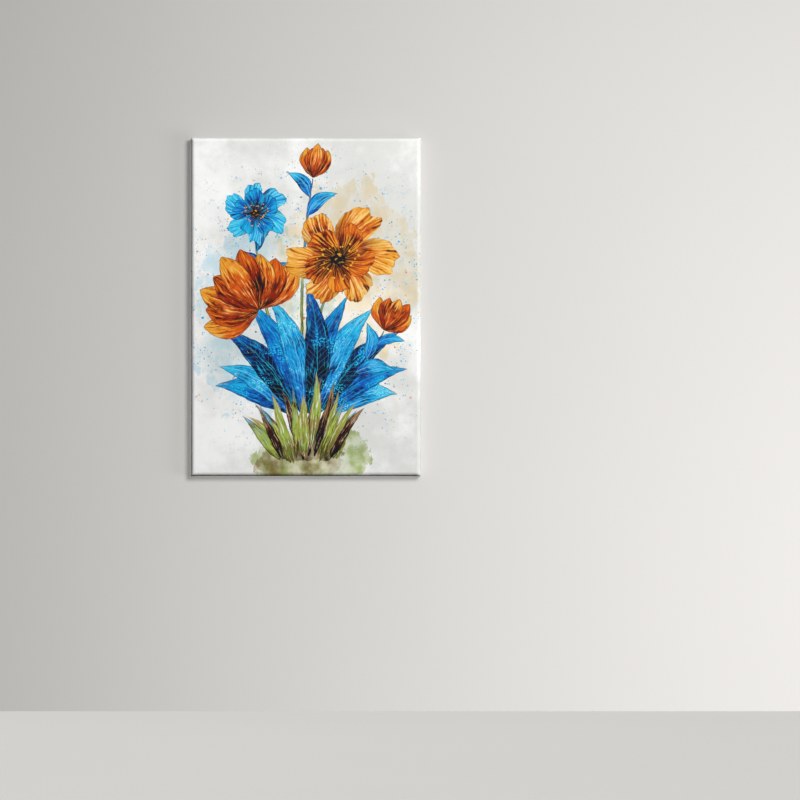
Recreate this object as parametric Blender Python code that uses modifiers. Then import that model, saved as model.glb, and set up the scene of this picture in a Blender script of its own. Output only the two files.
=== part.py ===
"""A portrait canvas print, wrapped round a keyed pine stretcher frame and ready to hang.

Metres, +Z up. The picture faces -Y and the wall is the plane y = 0. The origin is the hanging
point: the middle notch of the sawtooth hanger, where it sits on the nail in the wall.
"""

import math

import bmesh
import bpy
from mathutils import Euler, Matrix, Vector

# Driving dimensions
WIDTH = 0.680  # outside of the cloth, across
HEIGHT = 1.000  # outside of the cloth, upright
DEPTH = 0.038  # front of the cloth to the back of its folded margin
CLOTH = 0.0006  # primed canvas
FIT = 0.0003  # clearance between pieces that touch
HANG_DROP = 0.0405  # top edge down to the hanging point
WALL_GAP = 0.0027  # back of the cloth to the wall

# The wrap of the cloth
EDGE_RADIUS = 0.012  # roll of the cloth over the front edge
CORNER_RADIUS = 0.0012  # upright corner of the wrap
BACK_RADIUS = 0.0012  # turn from the side to the back
MARGIN = 0.028  # cloth turned in over the back
EDGE_STEPS = 8  # facets of the front roll
CORNER_STEPS = 3

# Stretcher bars
BAR_WIDTH = 0.045
BAR_LIP = 0.014  # flat that carries the cloth, measured from the outer face
BAR_RELIEF = 0.0035  # how far the front falls away from the cloth behind the lip
BAR_ARRIS = 0.0010

# Corner keys, one driven into each end of each bar
KEY_THICK = 0.0036
KEY_IN = 0.010  # length inside the slot
KEY_OUT = 0.028  # length that stands out of it
KEY_TIP = 0.003
KEY_BROAD = 0.014
KEY_LEVEL = 0.0027  # how far the keys of the level and the upright bars pass each other in depth
SLOT_PLAY = 0.0003
SLOT_REACH = 0.012  # the slot runs out through the mitre

# Cross brace, tongued into the upright bars
BRACE_HEIGHT = 0.045
BRACE_DEPTH = 0.018
BRACE_SET_IN = 0.002  # its back, behind the back of the bars
TONGUE_HEIGHT = 0.033
TONGUE_DEPTH = 0.008
TONGUE_LENGTH = 0.012

# Sawtooth hanger, its nails and the wall bumpers
PLATE = 0.0009
PLATE_LENGTH = 0.062
PLATE_HEIGHT = 0.0085
PLATE_FOOT = 0.011  # flat end that is nailed down
PLATE_RAMP = 0.003  # length of the bend up to the raised bridge
NOTCHES = 11
NOTCH_PITCH = 0.0030
NOTCH_DEPTH = 0.0018
TOOTH_TIP = 0.0004  # flat left between two notches
NAIL_SHANK = 0.0008
NAIL_HEAD = 0.0024
NAIL_HEAD_THICK = 0.0008
NAIL_LENGTH = 0.012
NAIL_SIDES = 20
BUMPER_RADIUS = 0.0065
BUMPER_INSET = 0.016  # centre of a bumper from the two outer edges of the wrap
BUMPER_SIDES = 32

# Places that follow
TOP = HANG_DROP
MIDDLE = TOP - HEIGHT / 2
BACK = -WALL_GAP
FRONT = BACK - DEPTH
BAR_OUT = CLOTH + FIT  # the bars lie this far inside the cloth
BAR_FRONT = FRONT + BAR_OUT
BAR_BACK = BACK - BAR_OUT
BAR_MID = (BAR_FRONT + BAR_BACK) / 2
INNER_HALF_WIDTH = WIDTH / 2 - BAR_OUT - BAR_WIDTH

COLOURS = {
    "cloth": ((0.88, 0.88, 0.86), 0.75, 0.0),
    "pine": ((0.72, 0.52, 0.31), 0.60, 0.0),
    "beech": ((0.66, 0.44, 0.26), 0.55, 0.0),
    "steel": ((0.62, 0.60, 0.55), 0.35, 1.0),
    "felt": ((0.10, 0.10, 0.10), 0.95, 0.0),
}


def clear_scene():
    for obj in list(bpy.data.objects):
        bpy.data.objects.remove(obj, do_unlink=True)


def new_collection(name):
    collection = bpy.data.collections.new(name)
    bpy.context.scene.collection.children.link(collection)
    return collection


def material(name):
    """A plain finish in the named colour."""
    made = bpy.data.materials.get(name)
    if made is None:
        colour, roughness, metallic = COLOURS[name]
        made = bpy.data.materials.new(name)
        made.use_nodes = True
        shader = made.node_tree.nodes["Principled BSDF"]
        shader.inputs["Base Color"].default_value = (*colour, 1.0)
        shader.inputs["Roughness"].default_value = roughness
        shader.inputs["Metallic"].default_value = metallic
    return made


def place(name, mesh, collection, finish=None, matrix=None):
    """An object for the mesh, at the matrix, in the collection."""
    obj = bpy.data.objects.new(name, mesh)
    collection.objects.link(obj)
    if matrix is not None:
        obj.matrix_world = matrix
    if finish:
        mesh.materials.clear()
        mesh.materials.append(material(finish))
    return obj


def box_mesh(name, low, high):
    """A box between two corners."""
    mesh = bpy.data.meshes.new(name)
    shape = bmesh.new()
    bmesh.ops.create_cube(shape, size=1.0)
    low, high = Vector(low), Vector(high)
    size = Matrix.Diagonal((*(high - low), 1.0))
    shape.transform(Matrix.Translation((low + high) / 2) @ size)
    shape.to_mesh(mesh)
    shape.free()
    return mesh


def drum_mesh(name, radius, low, high, sides, at=(0.0, 0.0)):
    """A drum along Y, from y = low to y = high, round the point at in X and Z."""
    mesh = bpy.data.meshes.new(name)
    shape = bmesh.new()
    bmesh.ops.create_cone(
        shape, cap_ends=True, segments=sides, radius1=radius, radius2=radius, depth=high - low
    )
    shape.transform(
        Matrix.Translation((at[0], (low + high) / 2, at[1])) @ Matrix.Rotation(math.pi / 2, 4, "X")
    )
    shape.to_mesh(mesh)
    shape.free()
    return mesh


def outline_mesh(name, points, thick):
    """A closed flat outline in XY, thick along Z and centred on z = 0."""
    curve = bpy.data.curves.new(name, "CURVE")
    curve.dimensions = "2D"
    curve.fill_mode = "BOTH"
    curve.extrude = thick / 2
    spline = curve.splines.new("POLY")
    spline.points.add(len(points) - 1)
    for point, (x, y) in zip(spline.points, points):
        point.co = (x, y, 0.0, 1.0)
    spline.use_cyclic_u = True
    carrier = bpy.data.objects.new(name, curve)
    bpy.context.scene.collection.objects.link(carrier)
    graph = bpy.context.evaluated_depsgraph_get()
    mesh = bpy.data.meshes.new_from_object(carrier.evaluated_get(graph))
    bpy.data.objects.remove(carrier, do_unlink=True)
    shape = bmesh.new()
    shape.from_mesh(mesh)
    bmesh.ops.remove_doubles(shape, verts=shape.verts, dist=1e-6)
    bmesh.ops.recalc_face_normals(shape, faces=shape.faces)
    shape.to_mesh(mesh)
    shape.free()
    return mesh


def boolean(obj, mesh, cutters, operation="DIFFERENCE"):
    """Cuts the mesh out of obj, or joins it on. The mesh is in obj's own axes."""
    tool = place(f"{obj.name}_tool_{len(obj.modifiers)}", mesh, cutters, matrix=obj.matrix_world)
    tool.hide_render = True
    tool.display_type = "WIRE"
    step = obj.modifiers.new(operation.title(), "BOOLEAN")
    step.operation = operation
    step.object = tool


def arc(centre, radius, start, end, steps):
    """Points on an arc, angles in degrees."""
    turns = [math.radians(start + (end - start) * i / steps) for i in range(steps + 1)]
    return [(centre[0] + radius * math.cos(a), centre[1] + radius * math.sin(a)) for a in turns]


def rounded_rectangle(half_width, half_height, radius):
    """A loop of points round a rectangle with rounded corners."""
    points = []
    for i, (sx, sy) in enumerate(((1, 1), (-1, 1), (-1, -1), (1, -1))):
        centre = (sx * (half_width - radius), sy * (half_height - radius))
        points += arc(centre, radius, 90 * i, 90 * i + 90, CORNER_STEPS)
    return points


def wrap_route():
    """The cloth's outer line from the picture over the side to the back, as (inset, y)."""
    roll = [
        (EDGE_RADIUS - x, FRONT + EDGE_RADIUS - y)
        for x, y in arc((0.0, 0.0), EDGE_RADIUS, 90, 0, EDGE_STEPS)
    ]
    turn = [
        (BACK_RADIUS - x, BACK - BACK_RADIUS + y)
        for x, y in arc((0.0, 0.0), BACK_RADIUS, 0, 90, CORNER_STEPS)
    ]
    return [*roll, *turn, (MARGIN, BACK)]


def make_cloth(parts):
    """The printed cloth: picture, sides and turned-in margin in one sheet."""
    shape = bmesh.new()
    loops = []
    for inset, y in wrap_route():
        ring = rounded_rectangle(
            WIDTH / 2 - inset, HEIGHT / 2 - inset, max(CORNER_RADIUS - inset, CORNER_RADIUS / 4)
        )
        loops.append([shape.verts.new((x, y, MIDDLE + z)) for x, z in ring])
    shape.faces.new(loops[0])
    for inner, outer in zip(loops, loops[1:]):
        for i in range(len(inner)):
            j = (i + 1) % len(inner)
            shape.faces.new((inner[i], outer[i], outer[j], inner[j]))
    bmesh.ops.recalc_face_normals(shape, faces=shape.faces)
    mesh = bpy.data.meshes.new("canvas_wrap")
    shape.to_mesh(mesh)
    shape.free()
    if mesh.polygons[0].normal.y > 0:
        mesh.flip_normals()
    cloth = place("canvas_wrap", mesh, parts, "cloth")
    wall = cloth.modifiers.new("Cloth", "SOLIDIFY")
    wall.thickness = CLOTH
    wall.offset = -1.0
    wall.use_even_offset = True
    mesh.shade_smooth()
    mesh.set_sharp_from_angle(angle=math.radians(35))


def bar_profile():
    """A bar's cross-section, as (distance from the outer face, y)."""
    roll = EDGE_RADIUS - BAR_OUT
    return [
        (0.0, BAR_BACK),
        *arc((roll, BAR_FRONT + roll), roll, 180, 270, EDGE_STEPS),
        (BAR_LIP, BAR_FRONT),
        (BAR_WIDTH - BAR_ARRIS, BAR_FRONT + BAR_RELIEF),
        (BAR_WIDTH, BAR_FRONT + BAR_RELIEF + BAR_ARRIS),
        (BAR_WIDTH, BAR_BACK - BAR_ARRIS),
        (BAR_WIDTH - BAR_ARRIS, BAR_BACK),
    ]


def bar_frame(turn, span):
    """A bar's axes: X from its outer face towards the middle of the picture, Z along it."""
    spin = Euler((0.0, math.radians(turn), 0.0)).to_matrix().to_4x4()
    out = Matrix.Translation((-(span / 2 - BAR_OUT), 0.0, 0.0))
    return Matrix.Translation((0.0, 0.0, MIDDLE)) @ spin @ out


def key_level(upright):
    """The depth at which the keys of a bar lie."""
    return BAR_MID - KEY_LEVEL if upright else BAR_MID + KEY_LEVEL


def key_width_at_bar():
    """How broad a key is where it leaves its slot."""
    return KEY_TIP + (KEY_BROAD - KEY_TIP) * KEY_IN / (KEY_IN + KEY_OUT)


def make_bar(side, turn, length, span, parts, cutters):
    """One bar, mitred at both ends, with a key slot at each."""
    mesh = outline_mesh(f"bar_{side}", bar_profile(), 1.0)
    half = length / 2 - BAR_OUT
    for vertex in mesh.vertices:
        end = half - vertex.co.x - FIT / math.sqrt(2)
        vertex.co.z = math.copysign(end, vertex.co.z)
    bar = place(f"bar_{side}", mesh, parts, "pine", bar_frame(turn, span))
    level = key_level(length > span)
    inner_end = half - BAR_WIDTH
    for end in (-1, 1):
        slot_end = inner_end - FIT - key_width_at_bar() - SLOT_PLAY
        reach = sorted((end * slot_end, end * (inner_end + SLOT_REACH)))
        slot = box_mesh(
            "slot",
            (BAR_WIDTH - KEY_IN - 2 * SLOT_PLAY, level - KEY_THICK / 2 - SLOT_PLAY, reach[0]),
            (BAR_WIDTH + KEY_IN, level + KEY_THICK / 2 + SLOT_PLAY, reach[1]),
        )
        boolean(bar, slot, cutters)
    return bar


def make_keys(side, turn, length, span, ends, parts):
    """The two wedges driven into a bar's ends. Each lies along the bar next to it."""
    inner_end = length / 2 - BAR_OUT - BAR_WIDTH
    level = key_level(length > span)
    for end, at in zip((-1, 1), ends):
        edge = inner_end - FIT
        outline = [
            (BAR_WIDTH - KEY_IN, end * edge),
            (BAR_WIDTH - KEY_IN, end * (edge - KEY_TIP)),
            (BAR_WIDTH + KEY_OUT, end * (edge - KEY_BROAD)),
            (BAR_WIDTH + KEY_OUT, end * edge),
        ]
        mesh = outline_mesh(f"key_{side}_{at}", outline, KEY_THICK)
        lie_flat = Matrix.Translation((0.0, level, 0.0)) @ Matrix.Rotation(math.pi / 2, 4, "X")
        place(f"key_{side}_{at}", mesh, parts, "beech", bar_frame(turn, span) @ lie_flat)


def make_brace(parts, cutters, bars):
    """The level brace between the upright bars, with a tongue at each end and its two mortises."""
    back = BAR_BACK - BRACE_SET_IN
    half = INNER_HALF_WIDTH - FIT
    beam = box_mesh(
        "cross_brace",
        (-half, back - BRACE_DEPTH, MIDDLE - BRACE_HEIGHT / 2),
        (half, back, MIDDLE + BRACE_HEIGHT / 2),
    )
    brace = place("cross_brace", beam, parts, "pine")
    mid = back - BRACE_DEPTH / 2

    def tongue(reach, play):
        return (
            (-reach, mid - TONGUE_DEPTH / 2 - play, MIDDLE - TONGUE_HEIGHT / 2 - play),
            (reach, mid + TONGUE_DEPTH / 2 + play, MIDDLE + TONGUE_HEIGHT / 2 + play),
        )

    reach = INNER_HALF_WIDTH + TONGUE_LENGTH
    boolean(brace, box_mesh("tongue", *tongue(reach, 0.0)), cutters, "UNION")
    for side in ("left", "right"):
        bar = bars[side]
        mortise = box_mesh("mortise", *tongue(reach + FIT, FIT))
        mortise.transform(bar.matrix_world.inverted())
        boolean(bar, mortise, cutters)


def nail_places():
    across = PLATE_LENGTH / 2 - PLATE_FOOT / 2
    up = PLATE_HEIGHT / 2 - NOTCH_DEPTH
    return [("left", (-across, up)), ("right", (across, up))]


def make_hanger(parts, cutters):
    """A pressed steel sawtooth hanger: flat feet and a raised bridge that reaches the wall."""
    low, across = -NOTCH_DEPTH, PLATE_LENGTH / 2
    mesh = box_mesh("hanger_plate", (-across, -PLATE, low), (across, 0.0, low + PLATE_HEIGHT))
    shape = bmesh.new()
    shape.from_mesh(mesh)
    foot_end = across - PLATE_FOOT
    bridge_end = foot_end - PLATE_RAMP
    for x in (-foot_end, -bridge_end, bridge_end, foot_end):
        bmesh.ops.bisect_plane(
            shape,
            geom=[*shape.verts, *shape.edges, *shape.faces],
            plane_co=(x, 0.0, 0.0),
            plane_no=(1.0, 0.0, 0.0),
        )
    for vertex in shape.verts:
        share = (foot_end - abs(vertex.co.x)) / PLATE_RAMP
        vertex.co.y += (BAR_BACK + FIT + PLATE) * (1.0 - min(max(share, 0.0), 1.0))
    shape.to_mesh(mesh)
    shape.free()
    plate = place("hanger_plate", mesh, parts, "steel")
    for _, at in nail_places():
        hole = drum_mesh("hole", NAIL_SHANK + FIT, BAR_BACK - PLATE, 0.0, NAIL_SIDES, at)
        boolean(plate, hole, cutters)
    # One four-sided notch, repeated along the lower edge
    half_width = (NOTCH_PITCH - TOOTH_TIP) / 2
    start = -NOTCH_PITCH * (NOTCHES - 1) / 2
    notch = drum_mesh("notch", 1.0, -2 * PLATE, PLATE, 4)
    notch.transform(
        Matrix.Translation((start, 0.0, low)) @ Matrix.Diagonal((half_width, 1.0, NOTCH_DEPTH, 1.0))
    )
    boolean(plate, notch, cutters)
    row = plate.modifiers[-1].object.modifiers.new("Row", "ARRAY")
    row.count = NOTCHES
    row.use_relative_offset = False
    row.use_constant_offset = True
    row.constant_offset_displace = (NOTCH_PITCH, 0.0, 0.0)


def make_nails(parts, cutters, bar_top):
    """Flat-headed nails through the hanger's feet, and their holes in the top bar."""
    seat = BAR_BACK + FIT + PLATE + FIT  # under the head
    for side, at in nail_places():
        shank = drum_mesh(
            f"hanger_nail_{side}", NAIL_SHANK, seat - NAIL_LENGTH, seat + NAIL_HEAD_THICK / 2, NAIL_SIDES, at
        )
        nail = place(f"hanger_nail_{side}", shank, parts, "steel")
        head = drum_mesh("head", NAIL_HEAD, seat, seat + NAIL_HEAD_THICK, NAIL_SIDES, at)
        boolean(nail, head, cutters, "UNION")
        bore = drum_mesh(
            "bore", NAIL_SHANK + FIT, seat - NAIL_LENGTH - FIT, BAR_BACK + PLATE, NAIL_SIDES, at
        )
        bore.transform(bar_top.matrix_world.inverted())
        boolean(bar_top, bore, cutters)


def make_bumpers(parts):
    """Felt discs at the lower corners, which keep the frame parallel to the wall."""
    across = WIDTH / 2 - BUMPER_INSET
    up = TOP - HEIGHT + BUMPER_INSET
    for side, x in (("left", -across), ("right", across)):
        disc = drum_mesh(f"bumper_{side}", BUMPER_RADIUS, BACK + FIT, 0.0, BUMPER_SIDES, (x, up))
        place(f"bumper_{side}", disc, parts, "felt")


def build():
    clear_scene()
    parts = new_collection("canvas_print")
    cutters = new_collection("cutters")
    cutters.hide_render = True
    make_cloth(parts)
    bars = {}
    for side, turn, length, span, ends in (
        ("left", 0, HEIGHT, WIDTH, ("lower", "upper")),
        ("top", 90, WIDTH, HEIGHT, ("left", "right")),
        ("right", 180, HEIGHT, WIDTH, ("upper", "lower")),
        ("bottom", 270, WIDTH, HEIGHT, ("right", "left")),
    ):
        bars[side] = make_bar(side, turn, length, span, parts, cutters)
        make_keys(side, turn, length, span, ends, parts)
    bpy.context.view_layer.update()
    make_brace(parts, cutters, bars)
    make_hanger(parts, cutters)
    make_nails(parts, cutters, bars["top"])
    make_bumpers(parts)


build()
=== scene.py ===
# %% [markdown]
# # A canvas print on its stretcher frame
#
# A printed cloth is pulled round four mitred pine bars and stapled at the back. The frame, the
# hanger and the small hardware come ready made from the packed model. This lesson gives them
# their finishes, makes the cloth itself with its folds, staples and loose threads, and paints
# the picture on it with shader nodes alone.
#
# The packed model is loaded first, because every place below is measured from it.

# %% Load the packed model
import math
import random

import bmesh
import bpy
import numpy as np
from mathutils import Matrix, Vector


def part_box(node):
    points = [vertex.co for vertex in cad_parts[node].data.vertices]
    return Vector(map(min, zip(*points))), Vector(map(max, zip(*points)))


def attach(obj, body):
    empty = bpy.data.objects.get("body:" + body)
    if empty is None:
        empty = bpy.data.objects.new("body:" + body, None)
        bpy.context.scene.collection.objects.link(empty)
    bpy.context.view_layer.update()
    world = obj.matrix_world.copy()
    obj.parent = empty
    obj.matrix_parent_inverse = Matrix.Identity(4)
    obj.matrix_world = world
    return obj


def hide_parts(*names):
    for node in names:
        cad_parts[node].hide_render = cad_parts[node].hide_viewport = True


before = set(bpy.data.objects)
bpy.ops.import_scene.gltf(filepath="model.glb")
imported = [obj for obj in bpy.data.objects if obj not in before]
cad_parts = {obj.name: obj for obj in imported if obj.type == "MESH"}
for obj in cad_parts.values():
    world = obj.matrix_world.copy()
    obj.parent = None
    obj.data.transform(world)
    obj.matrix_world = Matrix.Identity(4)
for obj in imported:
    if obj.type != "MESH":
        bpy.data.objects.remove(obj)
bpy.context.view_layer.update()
print("pieces in the packed model:", ", ".join(sorted(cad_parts)))

# %% [markdown]
# ## The sizes of the wrap
#
# The picture faces -Y, and the wall is the plane y = 0. The box round the packed cloth gives the
# outer size. The few sizes that a box can't tell, such as the roll of the front edge, are the
# ones the frame was built with.

# %% Measure the wrap
(left, front, bottom), (right, back, top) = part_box("canvas_wrap")
width, height, depth = right - left, top - bottom, back - front
middle_x, middle_z = (left + right) / 2, (bottom + top) / 2
CLOTH = 0.0006  # thickness of the primed cloth
EDGE_ROLL = 0.012  # radius of the cloth where it turns over the front edge
BACK_TURN = 0.0012  # radius where it turns onto the back
CORNER_TURN = 0.0012  # radius of the upright corners
TURN_IN = 0.028  # cloth folded in over the back
print(f"wrap {width:.3f} x {height:.3f} m, {depth * 1000:.0f} mm deep")

# %% [markdown]
# ## Values that can be reckoned with
#
# A finish here is a tree of small sums: distances, noises and mixes. Wiring each node by hand
# takes five lines a node, and the idea gets lost. So a node's output is kept as a value that takes
# the usual signs: writing a * b adds a Math node that multiplies the two.

# %% Give values the usual signs
class Value:
    """One output of a node in a graph."""

    def __init__(self, graph, socket):
        self.graph, self.socket = graph, socket

    def __abs__(self):
        return self.graph.sum("ABSOLUTE", self)

    def scaled(self, factor, plus):
        """The value times a factor, plus something more, in one node."""
        return self.graph.sum("MULTIPLY_ADD", self, factor, plus)


def give_sign(sign, operation):
    """Lets a value stand on either side of a sign, as in value - 1 and in 1 - value."""
    setattr(Value, f"__{sign}__", lambda one, two: one.graph.sum(operation, one, two))
    setattr(Value, f"__r{sign}__", lambda one, two: one.graph.sum(operation, two, one))


SIGNS = {"add": "ADD", "sub": "SUBTRACT", "mul": "MULTIPLY", "truediv": "DIVIDE", "pow": "POWER"}
for sign, operation in SIGNS.items():
    give_sign(sign, operation)
print("signs:", ", ".join(SIGNS))

# %% [markdown]
# ## Short ways to add nodes
#
# A node could be added with its own few lines each time. A graph with one short method for each
# kind of node that recurs does the same in a word, and each method hands back values, so they can
# be nested. A rise is the most used one: it turns any value into a soft mask. A glaze lays a
# colour over another one through such a mask.

# %% A graph that adds nodes
class Graph:
    """A node tree with short ways to add to it. It takes numbers and values alike."""

    def __init__(self, tree):
        self.tree = tree

    def feed(self, socket, value):
        """Links a value to a socket, or sets the socket to a plain number or colour."""
        value = getattr(value, "socket", value)
        if isinstance(value, bpy.types.NodeSocket):
            self.tree.links.new(value, socket)
        else:
            socket.default_value = value

    def add(self, kind, values=None, **settings):
        node = self.tree.nodes.new(f"ShaderNode{kind}")
        for name, value in settings.items():
            setattr(node, name, value)
        for key, value in (values or {}).items():
            self.feed(node.inputs[key], value)
        return node

    def get(self, output, kind, values=None, **settings):
        """Adds a node and returns one of its outputs."""
        return Value(self, self.add(kind, values, **settings).outputs[output])

    def get_all(self, kind, values=None, **settings):
        return [Value(self, socket) for socket in self.add(kind, values, **settings).outputs]

    def sum(self, operation, *values):
        return self.get(0, "Math", dict(enumerate(values)), operation=operation)

    def rise(self, value, low, high, start=0.0, end=1.0):
        """Goes smoothly from start to end as the value goes from low to high."""
        steps = {"Value": value, "From Min": low, "From Max": high, "To Min": start, "To Max": end}
        return self.get(0, "MapRange", steps, interpolation_type="SMOOTHSTEP")

    def mix(self, factor, under, over, blend="MIX"):
        values = {0: factor, 6: under, 7: over}
        return self.get(2, "Mix", values, data_type="RGBA", blend_type=blend)

    def glaze(self, under, over, value, low, high, most=1.0):
        """Lays a colour over another as the value goes from low to high, at most so strongly."""
        return self.mix(self.rise(value, low, high, 0.0, most), under, over)

    def vector(self, operation, *values):
        output = "Value" if operation in ("LENGTH", "DISTANCE") else "Vector"
        return self.get(output, "VectorMath", dict(enumerate(values)), operation=operation)

    def split(self, vector):
        return self.get_all("SeparateXYZ", {0: vector})

    def channels(self, colour):
        return self.get_all("SeparateColor", {0: colour})

    def join(self, x=0.0, y=0.0, z=0.0):
        return self.get(0, "CombineXYZ", {0: x, 1: y, 2: z})

    def noise(self, vector, scale, detail=2.0, rough=0.5, flat=False, output="Fac"):
        values = {"Vector": vector, "Scale": scale, "Detail": detail, "Roughness": rough}
        return self.get(output, "TexNoise", values, noise_dimensions="2D" if flat else "3D")

    def cells(self, vector, scale, flat=False):
        """Random cells: the distance from the nearest middle, and the cell's random colour."""
        values = {"Vector": vector, "Scale": scale}
        return self.get_all("TexVoronoi", values, voronoi_dimensions="2D" if flat else "3D")[:2]


print("graph methods:", sum(not name.startswith("_") for name in vars(Graph)))

# %% [markdown]
# ## Groups, materials and colours
#
# What several finishes share goes into a node group with named sockets. The shader itself stays in
# the material, with its plain numbers on its own sockets. Colours are easiest to judge as a screen
# shows them, but a shader reckons with amounts of light, so they are turned into those.

# %% Make groups, materials and colours
def new_group(name, takes, gives):
    """A shader node group with named sockets. Its graph has .takes and .gives."""
    tree = bpy.data.node_groups.new(name, "ShaderNodeTree")
    for way, sockets in (("INPUT", takes), ("OUTPUT", gives)):
        for label, kind in sockets.items():
            tree.interface.new_socket(label, in_out=way, socket_type=f"NodeSocket{kind}")
    g = Graph(tree)
    sockets = tree.nodes.new("NodeGroupInput").outputs
    g.takes = {socket.name: Value(g, socket) for socket in sockets if socket.name}
    g.gives = tree.nodes.new("NodeGroupOutput").inputs
    return g


def give(g, **results):
    """Feeds a group's outputs and returns the finished group."""
    for name, value in results.items():
        g.feed(g.gives[name], value)
    return g.tree


def new_material(name):
    material = bpy.data.materials.new(name)
    material.use_nodes = True
    return material, Graph(material.node_tree)


def set_shader(g, colour, rough, bump=None, specular=0.5, metallic=0.0, sheen=0.0):
    """Feeds the material's own shader and returns it. The bump is (height, strength, metres)."""
    values = {"Base Color": colour, "Roughness": rough, "Specular IOR Level": specular}
    values |= {"Metallic": metallic, "Sheen Weight": sheen}
    if bump:
        bump = dict(zip(("Height", "Strength", "Distance"), bump))
        values["Normal"] = g.get(0, "Bump", bump)
    shader = g.tree.nodes["Principled BSDF"]
    for name, value in values.items():
        g.feed(shader.inputs[name], value)
    return Value(g, shader.outputs[0])


def shade(red, green, blue):
    """A colour as a screen shows it, 0 to 255, in the linear numbers that a shader takes."""
    channels = [c / 255 for c in (red, green, blue)]
    linear = [c / 12.92 if c <= 0.04045 else ((c + 0.055) / 1.055) ** 2.4 for c in channels]
    return (*linear, 1.0)


print("middle grey is", [round(c, 3) for c in shade(128, 128, 128)[:3]])

# %% [markdown]
# ## The palette
#
# The print is in two families of pigment that face each other: turquoise to deep blue, and gold
# to rust. A near-black ties them together, and a thin moss green stands at the foot. Each pigment
# is named once here, so that a change of tone reaches every stroke that uses it.

# %% Name the pigments
PRIMER = shade(244, 243, 238)
PAPER_LIGHT = shade(251, 251, 249)
PAPER_GREY = shade(221, 222, 218)
PAPER_SMOKE = shade(198, 199, 196)
ICE = shade(34, 196, 236)
FROST = shade(132, 224, 246)
TURQUOISE = shade(0, 158, 222)
COBALT = shade(0, 90, 192)
ULTRAMARINE = shade(0, 18, 70)
INK = shade(4, 8, 18)
CREAM = shade(248, 214, 134)
GOLD = shade(238, 164, 46)
ORANGE = shade(216, 92, 12)
RUST = shade(152, 36, 2)
UMBER = shade(56, 15, 4)
SAGE = shade(214, 224, 160)
MOSS = shade(160, 182, 74)
OLIVE = shade(84, 92, 34)
BARK = shade(168, 124, 74)
SAND = shade(226, 204, 170)
print("the near-black, as light:", [round(c, 4) for c in INK[:3]])

# %% [markdown]
# ## Laying one colour over another
#
# Every painting group starts and ends in the same way. It starts with its own coordinates, in
# which the stroke or flower is one unit long, and it ends by laying its colour over what is
# there. The renderer has room for only a few hundred results in progress, and left alone it
# would start on all the strokes at once and run out. So each layer also gives a trace, a
# billionth of its brightness, which the next one adds to its coordinates. Nobody can see
# that, but it makes the next layer wait.

# %% Start and end a painting group
TRACE = 1e-9
LAYER_TAKES = dict.fromkeys(("Vector", "Location", "Rotation", "Scale"), "Vector")
LAYER_TAKES |= {"After": "Float", "Under": "Color"}
LAYER_GIVES = {"Color": "Color", "Trace": "Float"}


def new_layer(name, floats, colours):
    """A painting group. Returns its graph and its own coordinates."""
    takes = LAYER_TAKES | dict.fromkeys(floats, "Float") | dict.fromkeys(colours, "Color")
    g = new_group(name, takes, LAYER_GIVES)
    t = g.takes
    values = {"Vector": g.vector("ADD", t["Vector"], t["After"])}
    values |= {name: t[name] for name in ("Location", "Rotation", "Scale")}
    x, y, _ = g.split(g.get(0, "Mapping", values, vector_type="TEXTURE"))
    return g, x, y


def lay(g, cover, colour, blend="MIX"):
    """Ends a group: its colour goes over what is there."""
    laid = g.mix(cover, g.takes["Under"], colour, blend)
    return give(g, Color=laid, Trace=laid * TRACE)


print("a layer gives", " and ".join(LAYER_GIVES))

# %% [markdown]
# ## A brush stroke
#
# Leaves, narrow stems and single petals are all one loaded stroke of a round brush: it starts at a
# point, swells, and lifts off to a tip. It could be a picture of a stroke, but a formula stays
# sharp at any distance. The group turns the cloth's coordinates into the stroke's own, x from 0
# to 1 along it and y in half widths across. The belly follows a sine, so both ends are pointed.
# Fine noise drawn out along the stroke makes the marks of the bristles. Pigment gathers at the
# wet edge, and where the brush runs dry the paper shows through.

# %% Build the brush stroke group
FIVE_PIGMENTS = ("Root", "Heart", "Tip", "Light", "Dark")
EDGE_SOFT = 0.0011  # how far the edge of a stroke fades
WET_EDGE = 0.0048  # width of the darker rim where pigment gathered
MIDRIB_OUT, MIDRIB_IN = 0.0016, 0.0004  # half its width, with and without the soft edge
VEIN_TURN = 360.0  # radians a metre, which sets a side vein every 17 mm


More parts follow.
